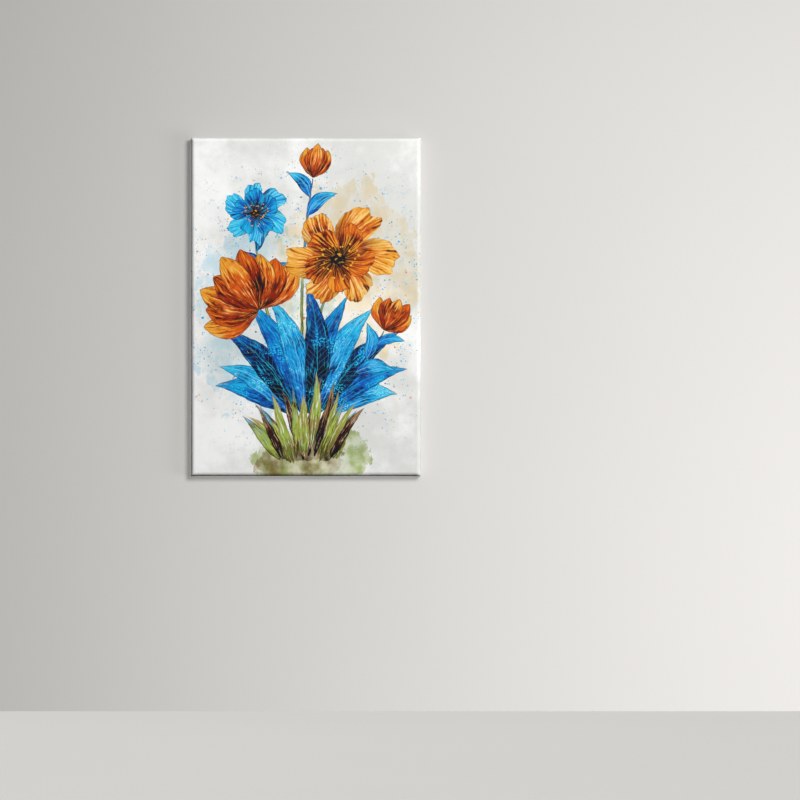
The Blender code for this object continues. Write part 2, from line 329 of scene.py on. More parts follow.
def build_stroke():
    floats = ("Bow", "Belly", "Fullness", "Bristles", "Dry", "Veins", "Dew", "Seed", "Bloom")
    g, along, across = new_layer("brush_stroke", floats, FIVE_PIGMENTS)
    t = g.takes
    size = g.split(t["Scale"])
    x = g.sum("MAXIMUM", g.sum("MINIMUM", along, 1.0), 0.0)
    # The bow is a parabola that is zero at both ends
    arch = (x - x * x) * 4.0
    y = across - arch * t["Bow"]
    swell = g.sum("SINE", x ** t["Belly"] * math.pi)
    half = swell ** t["Fullness"]
    out = abs(y)
    inside = (half - out) * size[1]
    # Bristle marks follow the outline, so they draw together at the ends
    lane = y / (half + 0.25)
    length = x * size[0]
    marks = g.join(length.scaled(17.0, t["Seed"]), lane * t["Bristles"])
    bristle = g.noise(marks, 1.0, detail=3.0, rough=0.68, flat=True)
    drift = t["Bloom"].scaled(1.1, bristle - 0.55)
    run = x + drift.scaled(0.9, -0.45)
    colour = g.glaze(t["Root"], t["Heart"], run, 0.02, 0.50)
    colour = g.glaze(colour, t["Tip"], run, 0.50, 1.00)
    colour = g.glaze(colour, t["Light"], bristle, 0.57, 0.70, 0.80)
    colour = g.glaze(colour, t["Root"], bristle, 0.46, 0.36, 0.70)
    colour = g.glaze(colour, t["Dark"], drift, 0.46, 0.20, 0.92)
    # Side veins run forward from the midrib
    aside = out * size[1]
    slant = length - aside
    rib = g.rise(g.sum("SINE", slant.scaled(VEIN_TURN, bristle)), 0.80, 1.0, 0.0, 0.35)
    mid = g.rise(aside, MIDRIB_OUT, MIDRIB_IN)
    veins = g.sum("MAXIMUM", rib, mid) * t["Veins"]
    colour = g.mix(g.sum("MAXIMUM", veins, t["Dew"]), colour, t["Light"])
    rim = g.rise(inside, WET_EDGE, 0.0, 0.0, 0.95)
    colour = g.mix(rim * g.rise(t["Bloom"], 0.25, 0.55), colour, t["Dark"])
    edge = g.rise(inside, 0.0, EDGE_SOFT)
    worn = t["Dry"] * x ** 2.0
    lifted = g.rise(worn.scaled(-0.55, bristle), 0.04, 0.16)
    return lay(g, edge * lifted, colour)


stroke_group = build_stroke()
print("brush stroke:", len(stroke_group.nodes), "nodes")

# %% [markdown]
# ## A ring of petals
#
# An open flower repeats one petal round its centre. Drawing each as a stroke of its own would take
# a group for every petal. In polar coordinates the angle can be cut into equal sectors instead, and
# one sum draws them all, with random numbers for each sector so that no two are alike. A
# petal is darker on the side that lies under its neighbour.

# %% Build the petal ring group
def number_sectors(g, sector, count):
    """The nearest whole sector, its number on the way round, and three random numbers for it."""
    number = g.sum("FLOOR", sector + 0.5)
    which = g.sum("WRAP", number, count, 0.0)
    dice = {"Vector": g.join(which, g.takes["Seed"], 0.5)}
    return number, which, g.channels(g.get("Color", "TexWhiteNoise", dice, noise_dimensions="3D"))


def build_petals():
    g, x, y = new_layer("petal_ring", ("Petals", "Swirl", "Seed", "Bloom"), FIVE_PIGMENTS)
    t = g.takes
    radius = g.vector("LENGTH", g.join(x, y))
    size = g.split(t["Scale"])
    turn = g.sum("ARCTAN2", y, x) / (2 * math.pi)
    sector = turn * t["Petals"] + radius * t["Swirl"]
    number, which, luck = number_sectors(g, sector, t["Petals"])
    side = (sector - number) * 2.0
    ruffle = g.noise(g.join(side * 1.8, which, t["Seed"]), 1.0, detail=2.0)
    reach = luck[0].scaled(0.20, 0.74) + ruffle.scaled(0.42, -0.21)
    notch = abs(side) ** 3.2 * 0.42
    outline = reach * (1.0 - notch)
    inside = (outline - radius) * size[0]
    # Veins fan out from the centre
    fan = g.join(side * 9.0, radius.scaled(1.9, which.scaled(7.3, t["Seed"])))
    vein = g.noise(fan, 1.0, detail=4.0, rough=0.68, flat=True)
    drift = vein + (t["Bloom"] - 0.5) * 1.5
    run = radius / outline + (drift - 0.5) * 0.75 + (luck[1] - 0.5) * 0.25
    colour = g.glaze(t["Root"], t["Heart"], run, 0.10, 0.52)
    colour = g.glaze(colour, t["Tip"], run, 0.50, 1.02)
    colour = g.glaze(colour, t["Light"], vein, 0.50, 0.62, 0.85)
    colour = g.glaze(colour, t["Root"], vein, 0.47, 0.34, 0.75)
    colour = g.glaze(colour, t["Dark"], drift, 0.42, 0.10, 0.90)
    tucked = g.rise(side, 0.10, 1.0) * g.rise(radius, 0.95, 0.25)
    colour = g.mix(tucked * 0.75, colour, t["Dark"])
    rim = g.rise(inside, WET_EDGE, 0.0, 0.0, 0.90)
    colour = g.mix(rim * g.rise(t["Bloom"], 0.38, 0.62), colour, t["Dark"])
    return lay(g, g.rise(inside, 0.0, EDGE_SOFT), colour)


petal_group = build_petals()
print("petal ring:", len(petal_group.nodes), "nodes")

# %% [markdown]
# ## Stamens
#
# The heart of an open flower is a dark button with a ring of fine threads, each with a dot of
# pollen at its end. It is the same trick with the angle, with many narrow sectors.

# %% Build the stamen group
def build_stamens():
    g, x, y = new_layer("stamens", ("Threads", "Seed"), ("Thread", "Pollen", "Button"))
    t = g.takes
    radius = g.vector("LENGTH", g.join(x, y))
    sector = g.sum("ARCTAN2", y, x) / (2 * math.pi) * t["Threads"]
    number, _, luck = number_sectors(g, sector, t["Threads"])
    lean = (luck[1] - 0.5) * (radius * 0.9)
    # How far off the thread's own line, measured along the circle
    off = abs((sector - number + lean) / t["Threads"] * (2 * math.pi) * radius)
    reach = luck[0] * 0.42 + 0.50
    line = g.rise(off, 0.028, 0.008) * g.rise(radius, reach, reach - 0.04)
    dot = g.vector("LENGTH", g.join(off, radius - reach))
    big = luck[2] * 0.035 + 0.035
    pollen = g.rise(dot, big, big * 0.6)
    colour = g.mix(pollen, t["Thread"], t["Pollen"])
    rough = g.noise(g.join(x, y, t["Seed"]), 7.0, detail=3.0)
    core = radius + (rough - 0.5) * 0.35
    button = g.glaze(t["Button"], t["Pollen"], rough, 0.50, 0.70)
    heart = g.rise(core, 0.34, 0.27)
    cover = g.sum("MAXIMUM", g.sum("MAXIMUM", line, pollen), heart)
    return lay(g, cover, g.mix(heart, colour, button))


stamen_group = build_stamens()
print("stamens:", len(stamen_group.nodes), "nodes")

# %% [markdown]
# ## Washes and splashes
#
# A wash is a pool of thinned colour with a ragged edge, and it goes on before the strokes. Splashes
# are the droplets that fly off a loaded brush. A Voronoi texture gives one random point in each
# cell. A dot round that point, kept only where the cell's random number is low enough, makes
# droplets of mixed sizes.

# %% Build the wash and splash groups
def build_wash():
    g, x, y = new_layer("wash", ("Ragged", "Seed", "Bloom", "Strength"), ("Pale", "Deep"))
    t = g.takes
    size = g.split(t["Scale"])
    pull = g.join((x * size[0]).scaled(15.0, t["Seed"]), y * size[1] * 8.0)
    ragged = g.noise(pull, 1.0, detail=6.0, rough=0.62, flat=True)
    far = g.vector("LENGTH", g.join(x, y)) + (ragged - 0.5) * t["Ragged"]
    inside = (1.0 - far) * size[0]
    tone = ragged + (t["Bloom"] - 0.5)
    colour = g.glaze(t["Deep"], t["Pale"], tone, 0.35, 0.70)
    rim = g.rise(inside, 0.009, 0.001, 0.0, 0.6)
    colour = g.mix(rim, colour, t["Deep"])
    body = g.sum("MAXIMUM", g.rise(tone, 0.15, 0.75, 1.0, 0.45), rim)
    cover = g.rise(inside, 0.0, 0.0016) * (body * t["Strength"])
    return lay(g, cover, colour, "MULTIPLY")


def build_splash():
    g, x, y = new_layer("splash", ("Cells", "Size", "Share", "Strength"), ("First", "Second"))
    t = g.takes
    away, tint = g.cells(g.join(x, y), t["Cells"], flat=True)
    luck = g.channels(tint)
    big = (luck[1] * luck[1] + 0.22) * t["Size"]
    drop = g.rise(away / t["Cells"], big, big * 0.55)
    kept = g.sum("LESS_THAN", luck[0], t["Share"])
    cover = drop * kept * t["Strength"]
    colour = g.mix(g.sum("GREATER_THAN", luck[2], 0.5), t["First"], t["Second"])
    return lay(g, cover, colour)


wash_group, splash_group = build_wash(), build_splash()
print("wash and splash:", len(wash_group.nodes), len(splash_group.nodes), "nodes")

# %% [markdown]
# ## The plan of the picture
#
# The picture is a full bunch of flowers in loose watercolour. The stems rise from one foot and part
# to the left and the right. The places are shares of the cloth's width and height, so the picture
# keeps its balance if the size changes. A stem is a chord with a bow, the same sum as in the stroke
# group, so a leaf can be set on it at any share of its length.

# %% Place the stems and the flowers
chance = random.Random(7)  # a fixed start, so that every run draws the same picture


def spot(across, up):
    """A place on the picture, as shares of its width and height from the lower left corner."""
    return Vector((across * width, up * height))


class Sweep:
    """A bowed line from start to end. The bow is to its left, in metres."""

    def __init__(self, start, end, bow):
        self.start, self.end, self.bow = Vector(start), Vector(end), bow
        self.chord = self.end - self.start
        self.length = self.chord.length
        self.angle = math.atan2(self.chord.y, self.chord.x)

    def at(self, share):
        """The point at that share of the length, and the line's direction there."""
        left_side = Vector((-math.sin(self.angle), math.cos(self.angle)))
        point = self.start + self.chord * share + left_side * self.bow * 4 * share * (1 - share)
        return point, self.angle + math.atan(4 * self.bow * (1 - 2 * share) / self.length)


foot = spot(0.51, 0.185)
STEMS = {
    "tall bud": Sweep(foot, spot(0.53, 0.880), 0.025),
    "blue flower": Sweep(foot, spot(0.28, 0.775), 0.040),
    "open flower": Sweep(foot, spot(0.64, 0.640), 0.022),
    "side flower": Sweep(foot, spot(0.30, 0.490), -0.030),
    "low bud": Sweep(foot, spot(0.84, 0.430), -0.022),
}
print("stems:", ", ".join(STEMS))

# %% [markdown]
# ## Painting with groups
#
# Each painting step takes the colour that is on the cloth so far and gives back the colour with
# one more layer. Nodes are made in the order in which the layers are laid, so that the renderer can
# forget each layer's workings before it starts the next.

# %% Paint one stroke or one wash
BLUES = (ULTRAMARINE, COBALT, TURQUOISE, ICE, ULTRAMARINE)
TEALS = (COBALT, TURQUOISE, ICE, FROST, ULTRAMARINE)
MIDNIGHTS = (INK, ULTRAMARINE, COBALT, ICE, INK)
FIRES = (RUST, ORANGE, GOLD, CREAM, UMBER)
EMBERS = (UMBER, RUST, ORANGE, GOLD, INK)
GREENS = (OLIVE, MOSS, TURQUOISE, CREAM, UMBER)
MOSSES = (OLIVE, MOSS, MOSS, PAPER_LIGHT, BARK)
EARTHS = (INK, UMBER, BARK, SAND, INK)
SEED_STEP = 3.7  # moves each stroke to another stretch of the noise
stroke_count = 0


def lay_on(g, cloth, group, values, place=(0.0, 0.0), size=(1.0, 1.0), turn=0.0):
    """Lays one more layer over the cloth's colour."""
    values = values | {"Vector": cloth["place"], "After": cloth["trace"], "Under": cloth["colour"]}
    values |= {"Location": (*place, 0.0), "Scale": (*size, 1.0), "Rotation": (0.0, 0.0, turn)}
    if "Bloom" in group.interface.items_tree:
        values["Bloom"] = cloth["bloom"]
    cloth["colour"], cloth["trace"] = g.get_all("Group", values, node_tree=group)


def brush(g, cloth, sweep, half_width, pigments, belly=0.75, fullness=1.0, bristles=5.0,
          dry=0.25, veins=0.0, dew=0.0):
    """Lays one stroke over the cloth's colour along a sweep."""
    global stroke_count
    stroke_count += 1
    values = dict(zip(FIVE_PIGMENTS, pigments))
    values |= {"Bow": sweep.bow / half_width, "Belly": belly, "Fullness": fullness}
    values |= {"Bristles": bristles, "Dry": dry, "Veins": veins, "Dew": dew}
    values["Seed"] = stroke_count * SEED_STEP
    lay_on(g, cloth, stroke_group, values, sweep.start, (sweep.length, half_width), sweep.angle)


def sweep_from(point, angle, length, bow):
    """A sweep that starts at a point and heads off at an angle."""
    tip = point + Vector((math.cos(angle), math.sin(angle))) * length
    return Sweep(point, tip, bow)


def paint_wash(g, cloth, centre, across, up, pale, deep, strength, seed, ragged=1.1):
    """A pool of thin colour. Across and up are its half sizes."""
    values = {"Pale": pale, "Deep": deep, "Strength": strength, "Seed": seed, "Ragged": ragged}
    lay_on(g, cloth, wash_group, values, centre, (across, up))


print("a stroke takes:", ", ".join(FIVE_PIGMENTS))

# %% [markdown]
# ## Leaves
#
# Big blue leaves spring from the foot like a fan, every third one nearly black. They are laid from
# the outer ones inward, so that the middle ones lie on top. Smaller leaves stand along the stems,
# first on one side and then on the other, and get shorter towards the flower. At the foot a clump
# of grass blades in moss green and bark brown covers the leaves' roots. Real leaves never repeat,
# so each takes its angle, length and width from a random draw.

# %% Paint the leaves and stems
FAN_LEAVES, GRASS_BLADES = 11, 23
FAN_LOW, FAN_HIGH = math.radians(17), math.radians(163)
FAN_FOOT = 0.12  # width of the fan where it leaves the foot
FAN_SHORT, FAN_MORE = 0.225, 0.165  # the outer leaves, and what the middle one has more
FAN_BOW, FAN_HALF = 0.032, 0.034
LEAF_SLIMNESS = 0.19  # half a stem leaf's width, as a share of its length
LEAF_BOW = 0.16  # the same of its bow
STEM_HALF = 0.0046
CLUMP_FOOT = 0.19  # width of the grass where it leaves the ground
CLUMP_LEAN = 1.35  # how much further the outer blades lean out, in radians


def paint_fan(g, cloth):
    middle = (FAN_LEAVES - 1) / 2
    for i in sorted(range(FAN_LEAVES), key=lambda k: -abs(k - middle)):
        share = i / (FAN_LEAVES - 1)
        angle = FAN_LOW + (FAN_HIGH - FAN_LOW) * share + chance.uniform(-0.07, 0.07)
        length = FAN_SHORT + FAN_MORE * math.sin(math.pi * share) + chance.uniform(-0.02, 0.03)
        bow = FAN_BOW if share < 0.5 else -FAN_BOW
        leaf = sweep_from(foot + Vector((FAN_FOOT * (0.5 - share), 0.0)), angle, length, bow)
        half_width = FAN_HALF + 0.008 * chance.random()
        brush(g, cloth, leaf, half_width, (TEALS, BLUES, MIDNIGHTS)[i % 3],
              belly=0.85, bristles=11.0, dry=0.55, veins=0.5, dew=cloth["dew"])


def paint_stem_leaves(g, cloth, stem, count, start, end, length, pigments):
    """Leaves on both sides of a stem, between two shares of its length."""
    for i in range(count):
        share = start + (end - start) * i / max(count - 1, 1)
        point, direction = stem.at(share)
        side = 1 if i % 2 else -1
        reach = length * (1.0 - 0.45 * i / count) * chance.uniform(0.88, 1.12)
        lean = side * chance.uniform(0.6, 0.95)
        leaf = sweep_from(point, direction + lean, reach, -LEAF_BOW * side * reach)
        brush(g, cloth, leaf, reach * LEAF_SLIMNESS, pigments,
              belly=0.8, bristles=7.0, dry=0.35, veins=0.5)


def paint_stem(g, cloth, stem):
    brush(g, cloth, stem, STEM_HALF, GREENS, belly=1.0, fullness=0.22, bristles=2.0, dry=0.15)


def paint_foot(g, cloth):
    """A clump of grass and moss that the leaves rise from."""
    paint_wash(g, cloth, foot + Vector((0.01, -0.130)), 0.175, 0.085, SAGE, MOSS, 0.9, 9.43, 1.2)
    paint_wash(g, cloth, foot + Vector((-0.03, -0.150)), 0.130, 0.060, SAND, BARK, 0.8, 14.71, 1.4)
    paint_wash(g, cloth, foot + Vector((0.00, -0.118)), 0.105, 0.022, BARK, UMBER, 1.0, 21.37, 1.3)
    places = [(i + 0.5) / GRASS_BLADES - 0.5 for i in range(GRASS_BLADES)]
    chance.shuffle(places)
    for i, across in enumerate(places):
        start = foot + Vector((CLUMP_FOOT * across, chance.uniform(-0.150, -0.105)))
        tilt = -CLUMP_LEAN * across + chance.uniform(-0.18, 0.18)
        length = chance.uniform(0.19, 0.27) * (1.0 - 0.8 * abs(across))
        bow = 0.03 * across + chance.uniform(-0.01, 0.01)
        blade = sweep_from(start, math.pi / 2 + tilt, length, bow)
        brush(g, cloth, blade, chance.uniform(0.010, 0.018), (MOSSES, EARTHS, GREENS)[i % 3],
              belly=0.75, fullness=0.9, bristles=chance.uniform(3.0, 5.0), dry=0.7)


print("fan leaves:", FAN_LEAVES)

# %% [markdown]
# ## Flowers
#
# An open flower faces the viewer: a wide ring of petals, a smaller ring turned by about half a
# petal, and the stamens. The flower seen from the side is a handful of broad strokes that start at one
# point, with the near petals laid last. The buds are the same strokes held close together.

# %% Paint the flowers
OPEN_RADIUS, BLUE_RADIUS = 0.190, 0.118
INNER_SHARE, STAMEN_SHARE = 0.70, 0.40  # of the outer ring's radius
PETALS, STAMENS = 6, 26
PETAL_RING_SQUASH, STAMEN_SQUASH = 0.93, 0.92  # a flower that leans back a little


def paint_ring(g, cloth, centre, radius, turn, petals, pigments, swirl=0.35):
    values = dict(zip(FIVE_PIGMENTS, pigments))
    values |= {"Petals": petals, "Swirl": swirl, "Seed": 11.3 + 40 * radius}
    lay_on(g, cloth, petal_group, values, centre, (radius, radius * PETAL_RING_SQUASH), turn)


def paint_stamens(g, cloth, centre, radius):
    values = {"Threads": STAMENS, "Seed": 4.0, "Thread": UMBER, "Pollen": GOLD, "Button": INK}
    lay_on(g, cloth, stamen_group, values, centre, (radius, radius * STAMEN_SQUASH))


def paint_open(g, cloth, stem, radius, turn, outer, inner):
    centre, _ = stem.at(1.0)
    paint_ring(g, cloth, centre, radius, turn, PETALS, outer)
    paint_ring(g, cloth, centre, radius * INNER_SHARE, turn + 0.5, PETALS - 1, inner, swirl=-0.3)
    paint_stamens(g, cloth, centre, radius * STAMEN_SHARE)


def paint_cup(g, cloth, stem, lean, length, petals, spread, half_width):
    """Petals from one point. The outer ones are laid first."""
    centre, direction = stem.at(1.0)
    middle = (petals - 1) / 2
    for i in sorted(range(petals), key=lambda k: -abs(k - middle)):
        side = (i - middle) / middle
        reach = length * (1.0 - 0.10 * abs(side)) * chance.uniform(0.92, 1.08)
        petal = sweep_from(centre, direction + lean + spread * side, reach, 0.10 * side * reach)
        brush(g, cloth, petal, half_width, (FIRES, EMBERS)[i % 2],
              belly=1.35, fullness=0.75, bristles=7.5, dry=0.12)


def paint_flowers(g, cloth):
    paint_cup(g, cloth, STEMS["tall bud"], 0.0, 0.100, 5, 0.34, 0.020)
    paint_cup(g, cloth, STEMS["low bud"], 0.0, 0.105, 5, 0.60, 0.023)
    paint_open(g, cloth, STEMS["blue flower"], BLUE_RADIUS, 0.9, TEALS, BLUES)
    paint_cup(g, cloth, STEMS["side flower"], -0.15, 0.185, 9, 1.25, 0.040)
    paint_open(g, cloth, STEMS["open flower"], OPEN_RADIUS, 0.3, FIRES, EMBERS)


print("flowers: two open, one from the side, two buds")

# %% [markdown]
# ## The ground
#
# The ground is primed cloth under thin, cloudy greys. One even tone would look like paper from a
# packet, so two noises, a coarse and a fine one, thin it and thicken it. The print runs over the
# sides and ends a little past the back edge, and beyond that the cloth is left as it was primed.

# %% Paint the ground and keep the margin
PRINT_OVER_BACK = 0.004  # the print ends this far past the back edge
PRINT_EDGE = 0.0006  # and fades over this width


def paint_ground(g, cloth):
    cloud = g.noise(cloth["flat"], 3.4, detail=5.0, rough=0.58, flat=True)
    smoke = g.noise(cloth["flat"], 21.0, detail=4.0, rough=0.65, flat=True)
    tone = smoke.scaled(0.30, cloud - 0.15)
    # Thinner towards the left, thickest in the upper right corner
    x, y, _ = g.split(cloth["flat"])
    tone = tone + g.rise(x, 0.0, width, 0.12, -0.10) + g.rise(x * y, 0.20, 0.68, 0.0, -0.15)
    ground = g.glaze(PAPER_GREY, PAPER_LIGHT, tone, 0.32, 0.64)
    smoke = g.rise(smoke, 0.42, 0.72) * g.rise(cloud, 0.62, 0.38, 0.0, 0.30)
    cloth["colour"] = g.mix(smoke, ground, PAPER_SMOKE)


def keep_margin(g, flat, painted):
    """Leaves the cloth unprinted beyond the back edge."""
    x, y, _ = g.split(flat)
    past_x = abs(x - width / 2) - width / 2
    past_y = abs(y - height / 2) - height / 2
    past = g.sum("MAXIMUM", past_x, past_y)
    end = depth + PRINT_OVER_BACK
    return g.mix(g.rise(past, end - PRINT_EDGE, end), painted, PRIMER)


print(f"the print runs {PRINT_OVER_BACK * 1000:.0f} mm past the back edge")

# %% [markdown]
# ## The whole picture
#
# A painter works from the back to the front, and so does this: faint pools of turquoise and gold,
# the droplets that flew off the brush, the stems, the leaves, and the flowers last. A hand is
# never quite steady, so the coordinates are shaken a little before anything is drawn with them.
# The bloom is a slow noise that every layer shares, as wet pigment runs across its borders.

# %% Put the picture together
HAND_SHAKE = 0.008
DEW_CELLS = 150.0  # a metre
SPLASHES = (
    (150.0, 0.0030, 0.24, TURQUOISE, ICE),
    (120.0, 0.0030, 0.14, GOLD, shade(90, 94, 100)),
    (60.0, 0.0046, 0.10, ORANGE, TURQUOISE),
)


def start_cloth(g, flat):
    """The coordinates and masks that all the layers share."""
    wobble = g.channels(g.noise(flat, 26.0, detail=3.0, flat=True, output="Color"))
    shake = [w.scaled(HAND_SHAKE, -HAND_SHAKE / 2) for w in wobble[:2]]
    place = g.vector("ADD", flat, g.join(*shake))
    bloom = g.noise(flat, 17.0, detail=4.0, rough=0.6, flat=True)
    away, _ = g.cells(place, DEW_CELLS, flat=True)
    wet = g.rise(bloom, 0.54, 0.64)
    dew = g.rise(away, 0.36, 0.22) * wet
    return {"flat": flat, "place": place, "trace": 0.0, "bloom": bloom, "dew": dew}


def paint_splashes(g, cloth):
    """Droplets, thickest round the bunch."""
    reach = g.vector("DISTANCE", cloth["flat"], (0.5 * width, 0.5 * height, 0.0))
    near = g.rise(cloth["bloom"], 0.42, 0.58) * g.rise(reach, 0.56, 0.30)
    for cells, size, share, first, second in SPLASHES:
        values = {"Cells": cells, "Size": size, "Share": share}
        values |= {"Strength": near, "First": first, "Second": second}
        lay_on(g, cloth, splash_group, values)


def paint_picture(g, flat):
    """The whole picture as a colour, from the flat cloth's coordinates in metres."""
    cloth = start_cloth(g, flat)
    paint_ground(g, cloth)
    paint_wash(g, cloth, spot(0.30, 0.47), 0.21, 0.27, shade(206, 240, 248), ICE, 0.36, 1.37)
    paint_wash(g, cloth, spot(0.68, 0.60), 0.22, 0.26, shade(255, 240, 206), CREAM, 0.50, 5.61)
    paint_splashes(g, cloth)
    for stem in STEMS.values():
        paint_stem(g, cloth, stem)
    paint_fan(g, cloth)
    paint_foot(g, cloth)
    paint_stem_leaves(g, cloth, STEMS["blue flower"], 3, 0.62, 0.82, 0.110, BLUES)
    paint_stem_leaves(g, cloth, STEMS["tall bud"], 2, 0.84, 0.92, 0.120, TEALS)
    paint_stem_leaves(g, cloth, STEMS["low bud"], 3, 0.55, 0.86, 0.120, TEALS)
    paint_flowers(g, cloth)
    return keep_margin(g, flat, cloth["colour"])


print("splash passes:", len(SPLASHES))

# %% [markdown]
# ## Woven cloth
#
# Artist's canvas is a plain weave: each thread goes over one and under the next. Two sines across
# each other give the rounded threads, and the sign of their product tells which thread is on top.
# Real threads don't lie quite straight, so the coordinates are shifted a little by noise. They
# have thick and thin stretches too, called slubs, which are noise drawn out along each thread.

# %% Build the weave group
THREAD_PITCH = 0.0010


def build_weave():
    takes = {"Vector": "Vector", "Pitch": "Float"}
    g = new_group("plain_weave", takes, dict.fromkeys(("Height", "Slub"), "Float"))
    t = g.takes
    slack = g.channels(g.noise(t["Vector"], 90.0, detail=2.0, flat=True, output="Color"))
    slack = [(s - 0.5) * 0.0012 for s in slack[:2]]
    x, y, _ = g.split(g.vector("ADD", t["Vector"], g.join(*slack)))
    wave_x, wave_y = [g.sum("SINE", place / t["Pitch"] * math.pi) for place in (x, y)]
    round_x, round_y = [g.sum("SQRT", abs(wave)) for wave in (wave_x, wave_y)]
    over = g.rise(wave_x * wave_y, -0.4, 0.4)
    height = g.sum("MAXIMUM", round_x * over, round_y * (1.0 - over))
    # Each thread has its own thickness, drawn out along it
    warp = g.noise(g.join(x * 1100.0, y * 45.0), 1.0, flat=True)
    weft = g.noise(g.join(x * 45.0, y * 1100.0), 1.0, flat=True)
    return give(g, Height=height, Slub=(warp + weft) * 0.5)


weave_group = build_weave()
print("thread pitch:", THREAD_PITCH, "m")

# %% [markdown]
# ## The two faces of the cloth
#
# The outside is primed and printed, with a thin satin varnish, so the weave is half filled. The
# inside is bare cotton, warmer and rougher. Both read the flat cloth's coordinates from a UV
# map, so threads and picture run round the edges without a break.

# %% Make the printed and the raw face
def weave(g, flat):
    """The height and the slubs of the weave."""
    return g.get_all("Group", {"Vector": flat, "Pitch": THREAD_PITCH}, node_tree=weave_group)


def make_print():
    material, g = new_material("printed_face")
    flat = g.get(0, "UVMap", uv_map="flat")
    colour = paint_picture(g, flat)
    height, slub = weave(g, flat)
    # Painted shade: the hollows between the threads are darkened towards the near-black, more on thick
    # threads
    hollow_shade = g.rise(height, 0.6, 0.0) * (slub + 0.3)
    colour = g.mix(hollow_shade * 0.16, colour, INK)
    set_shader(g, colour, g.rise(height, 0.2, 0.9, 0.66, 0.50), (height, 0.45, 0.0003), 0.15)
    return material


def make_raw():
    material, g = new_material("raw_face")
    flat = g.get(0, "UVMap", uv_map="flat")
    height, slub = weave(g, flat)
    fleck = g.noise(flat, 700.0, detail=3.0, rough=0.7, flat=True)
    colour = g.glaze(shade(205, 196, 176), shade(232, 226, 210), slub, 0.35, 0.65)
    colour = g.glaze(colour, shade(150, 128, 98), fleck, 0.68, 0.80, 0.7)
    # Painted shade: the hollows between the threads are darker
    colour = g.glaze(colour, shade(150, 138, 116), height, 0.30, 0.0, 0.6)
    set_shader(g, colour, 0.92, (height, 0.8, 0.0003), 0.15)
    return material


printed_face, raw_face = make_print(), make_raw()
print("nodes in the print:", len(printed_face.node_tree.nodes), "and strokes:", stroke_count)

# %% [markdown]
# ## The wrapped cloth
#
# The cloth could be a simulation, but a stretched canvas is pulled flat, so its shape is known: it
# runs across the front, rolls over the edge, goes down the side and turns in over the back. It is
# built as a front grid and a stack of loops round it. The route of the wrap is the same on all four
# sides, so it is worked out once and carried round the frame.

# %% Follow the wrap
ACROSS, UPRIGHT = 80, 120  # cells of the front grid
ROLL_STEPS, SIDE_STEPS, TURN_STEPS, BACK_STEPS = 8, 6, 3, 7  # loops of each stretch


def quarter_turn(steps):
    """The angles of a quarter circle, both ends included."""
    return [math.pi / 2 * i / steps for i in range(steps + 1)]


def wrap_route():
    """From the front roll to the cut edge: (inset, depth behind the front, length so far)."""
    route = [(EDGE_ROLL * (1 - math.sin(a)), EDGE_ROLL * (1 - math.cos(a)))
             for a in quarter_turn(ROLL_STEPS)]
    side_length = depth - EDGE_ROLL - BACK_TURN
    route += [(0.0, EDGE_ROLL + side_length * i / SIDE_STEPS) for i in range(1, SIDE_STEPS)]
    route += [(BACK_TURN * (1 - math.cos(a)), depth - BACK_TURN * (1 - math.sin(a)))
              for a in quarter_turn(TURN_STEPS)]
    turned = [(i + 1) / BACK_STEPS for i in range(BACK_STEPS)]
    route += [(BACK_TURN + (TURN_IN - BACK_TURN) * share, depth) for share in turned]
    lengths = [0.0]
    for near, far in zip(route, route[1:]):
        lengths.append(lengths[-1] + math.dist(near, far))
    return [(inset, deep, length) for (inset, deep), length in zip(route, lengths)]


def four_sides():
    """Each side from below round: its number, its length, the length across it, and its turn."""
    for side in range(4):
        run, away = (width, height) if side % 2 == 0 else (height, width)
        yield side, run, away, Matrix.Rotation(math.pi / 2 * side, 2)


def loop_points(inset):
    """Round a loop: (place, outward, side, share of the side, or None at a corner)."""
    mid = CORNER_TURN * math.sqrt(0.5)
    for side, run, away, turn in four_sides():
        half, far = run / 2 - inset - CORNER_TURN, away / 2 - inset - CORNER_TURN
        cells = UPRIGHT if side % 2 else ACROSS
        for i in range(cells + 1):
            place = Vector((-half + 2 * half * i / cells, -far - CORNER_TURN))
            yield turn @ place, turn @ Vector((0.0, -1.0)), side, i / cells
        yield turn @ Vector((half + mid, -far - mid)), turn @ Vector((0.8, -0.8)), side, None


print(f"cut edge {wrap_route()[-1][2] * 1000:.0f} mm along the cloth from the front's flat part")

# %% [markdown]
# ## Slack, folds and the cut
#
# Perfectly flat cloth looks like plastic, so two things give it life. Between two staples the
# edge stands off a little, which dies away towards the front. At the corners the top and bottom
# lie double over the folded sides. A fold could be modelled leaf by leaf, but only its step shows,
# so the cloth just rises there by the thickness of the leaves below. The cut edge wanders a little.

# %% Move the points off the plain wrap
STAPLE_PITCH = 0.052
EDGE_WAVE = 0.0009  # how far the turned-in cloth stands off between two staples
FRONT_PULL = 0.0003  # the same on the front
PULL_REACH = 0.04  # how fast it dies away there
FOLD_RISE = 0.0008  # the doubled cloth at a corner
FOLD_LENGTH = 0.016  # on the back it reaches this much further than the frame is deep
FOLD_STEP = 0.0016  # and over what length it rises
FOLD_FULL = 0.125  # the share of the turned-in cloth at which the rise is full
CALM_REACH = 0.01  # the front starts plain at its roll and is fully slack this far in
CUT_RAGGED, CUT_SWAY = 0.0006, 0.0007  # how far the cut wanders, at random and in long waves


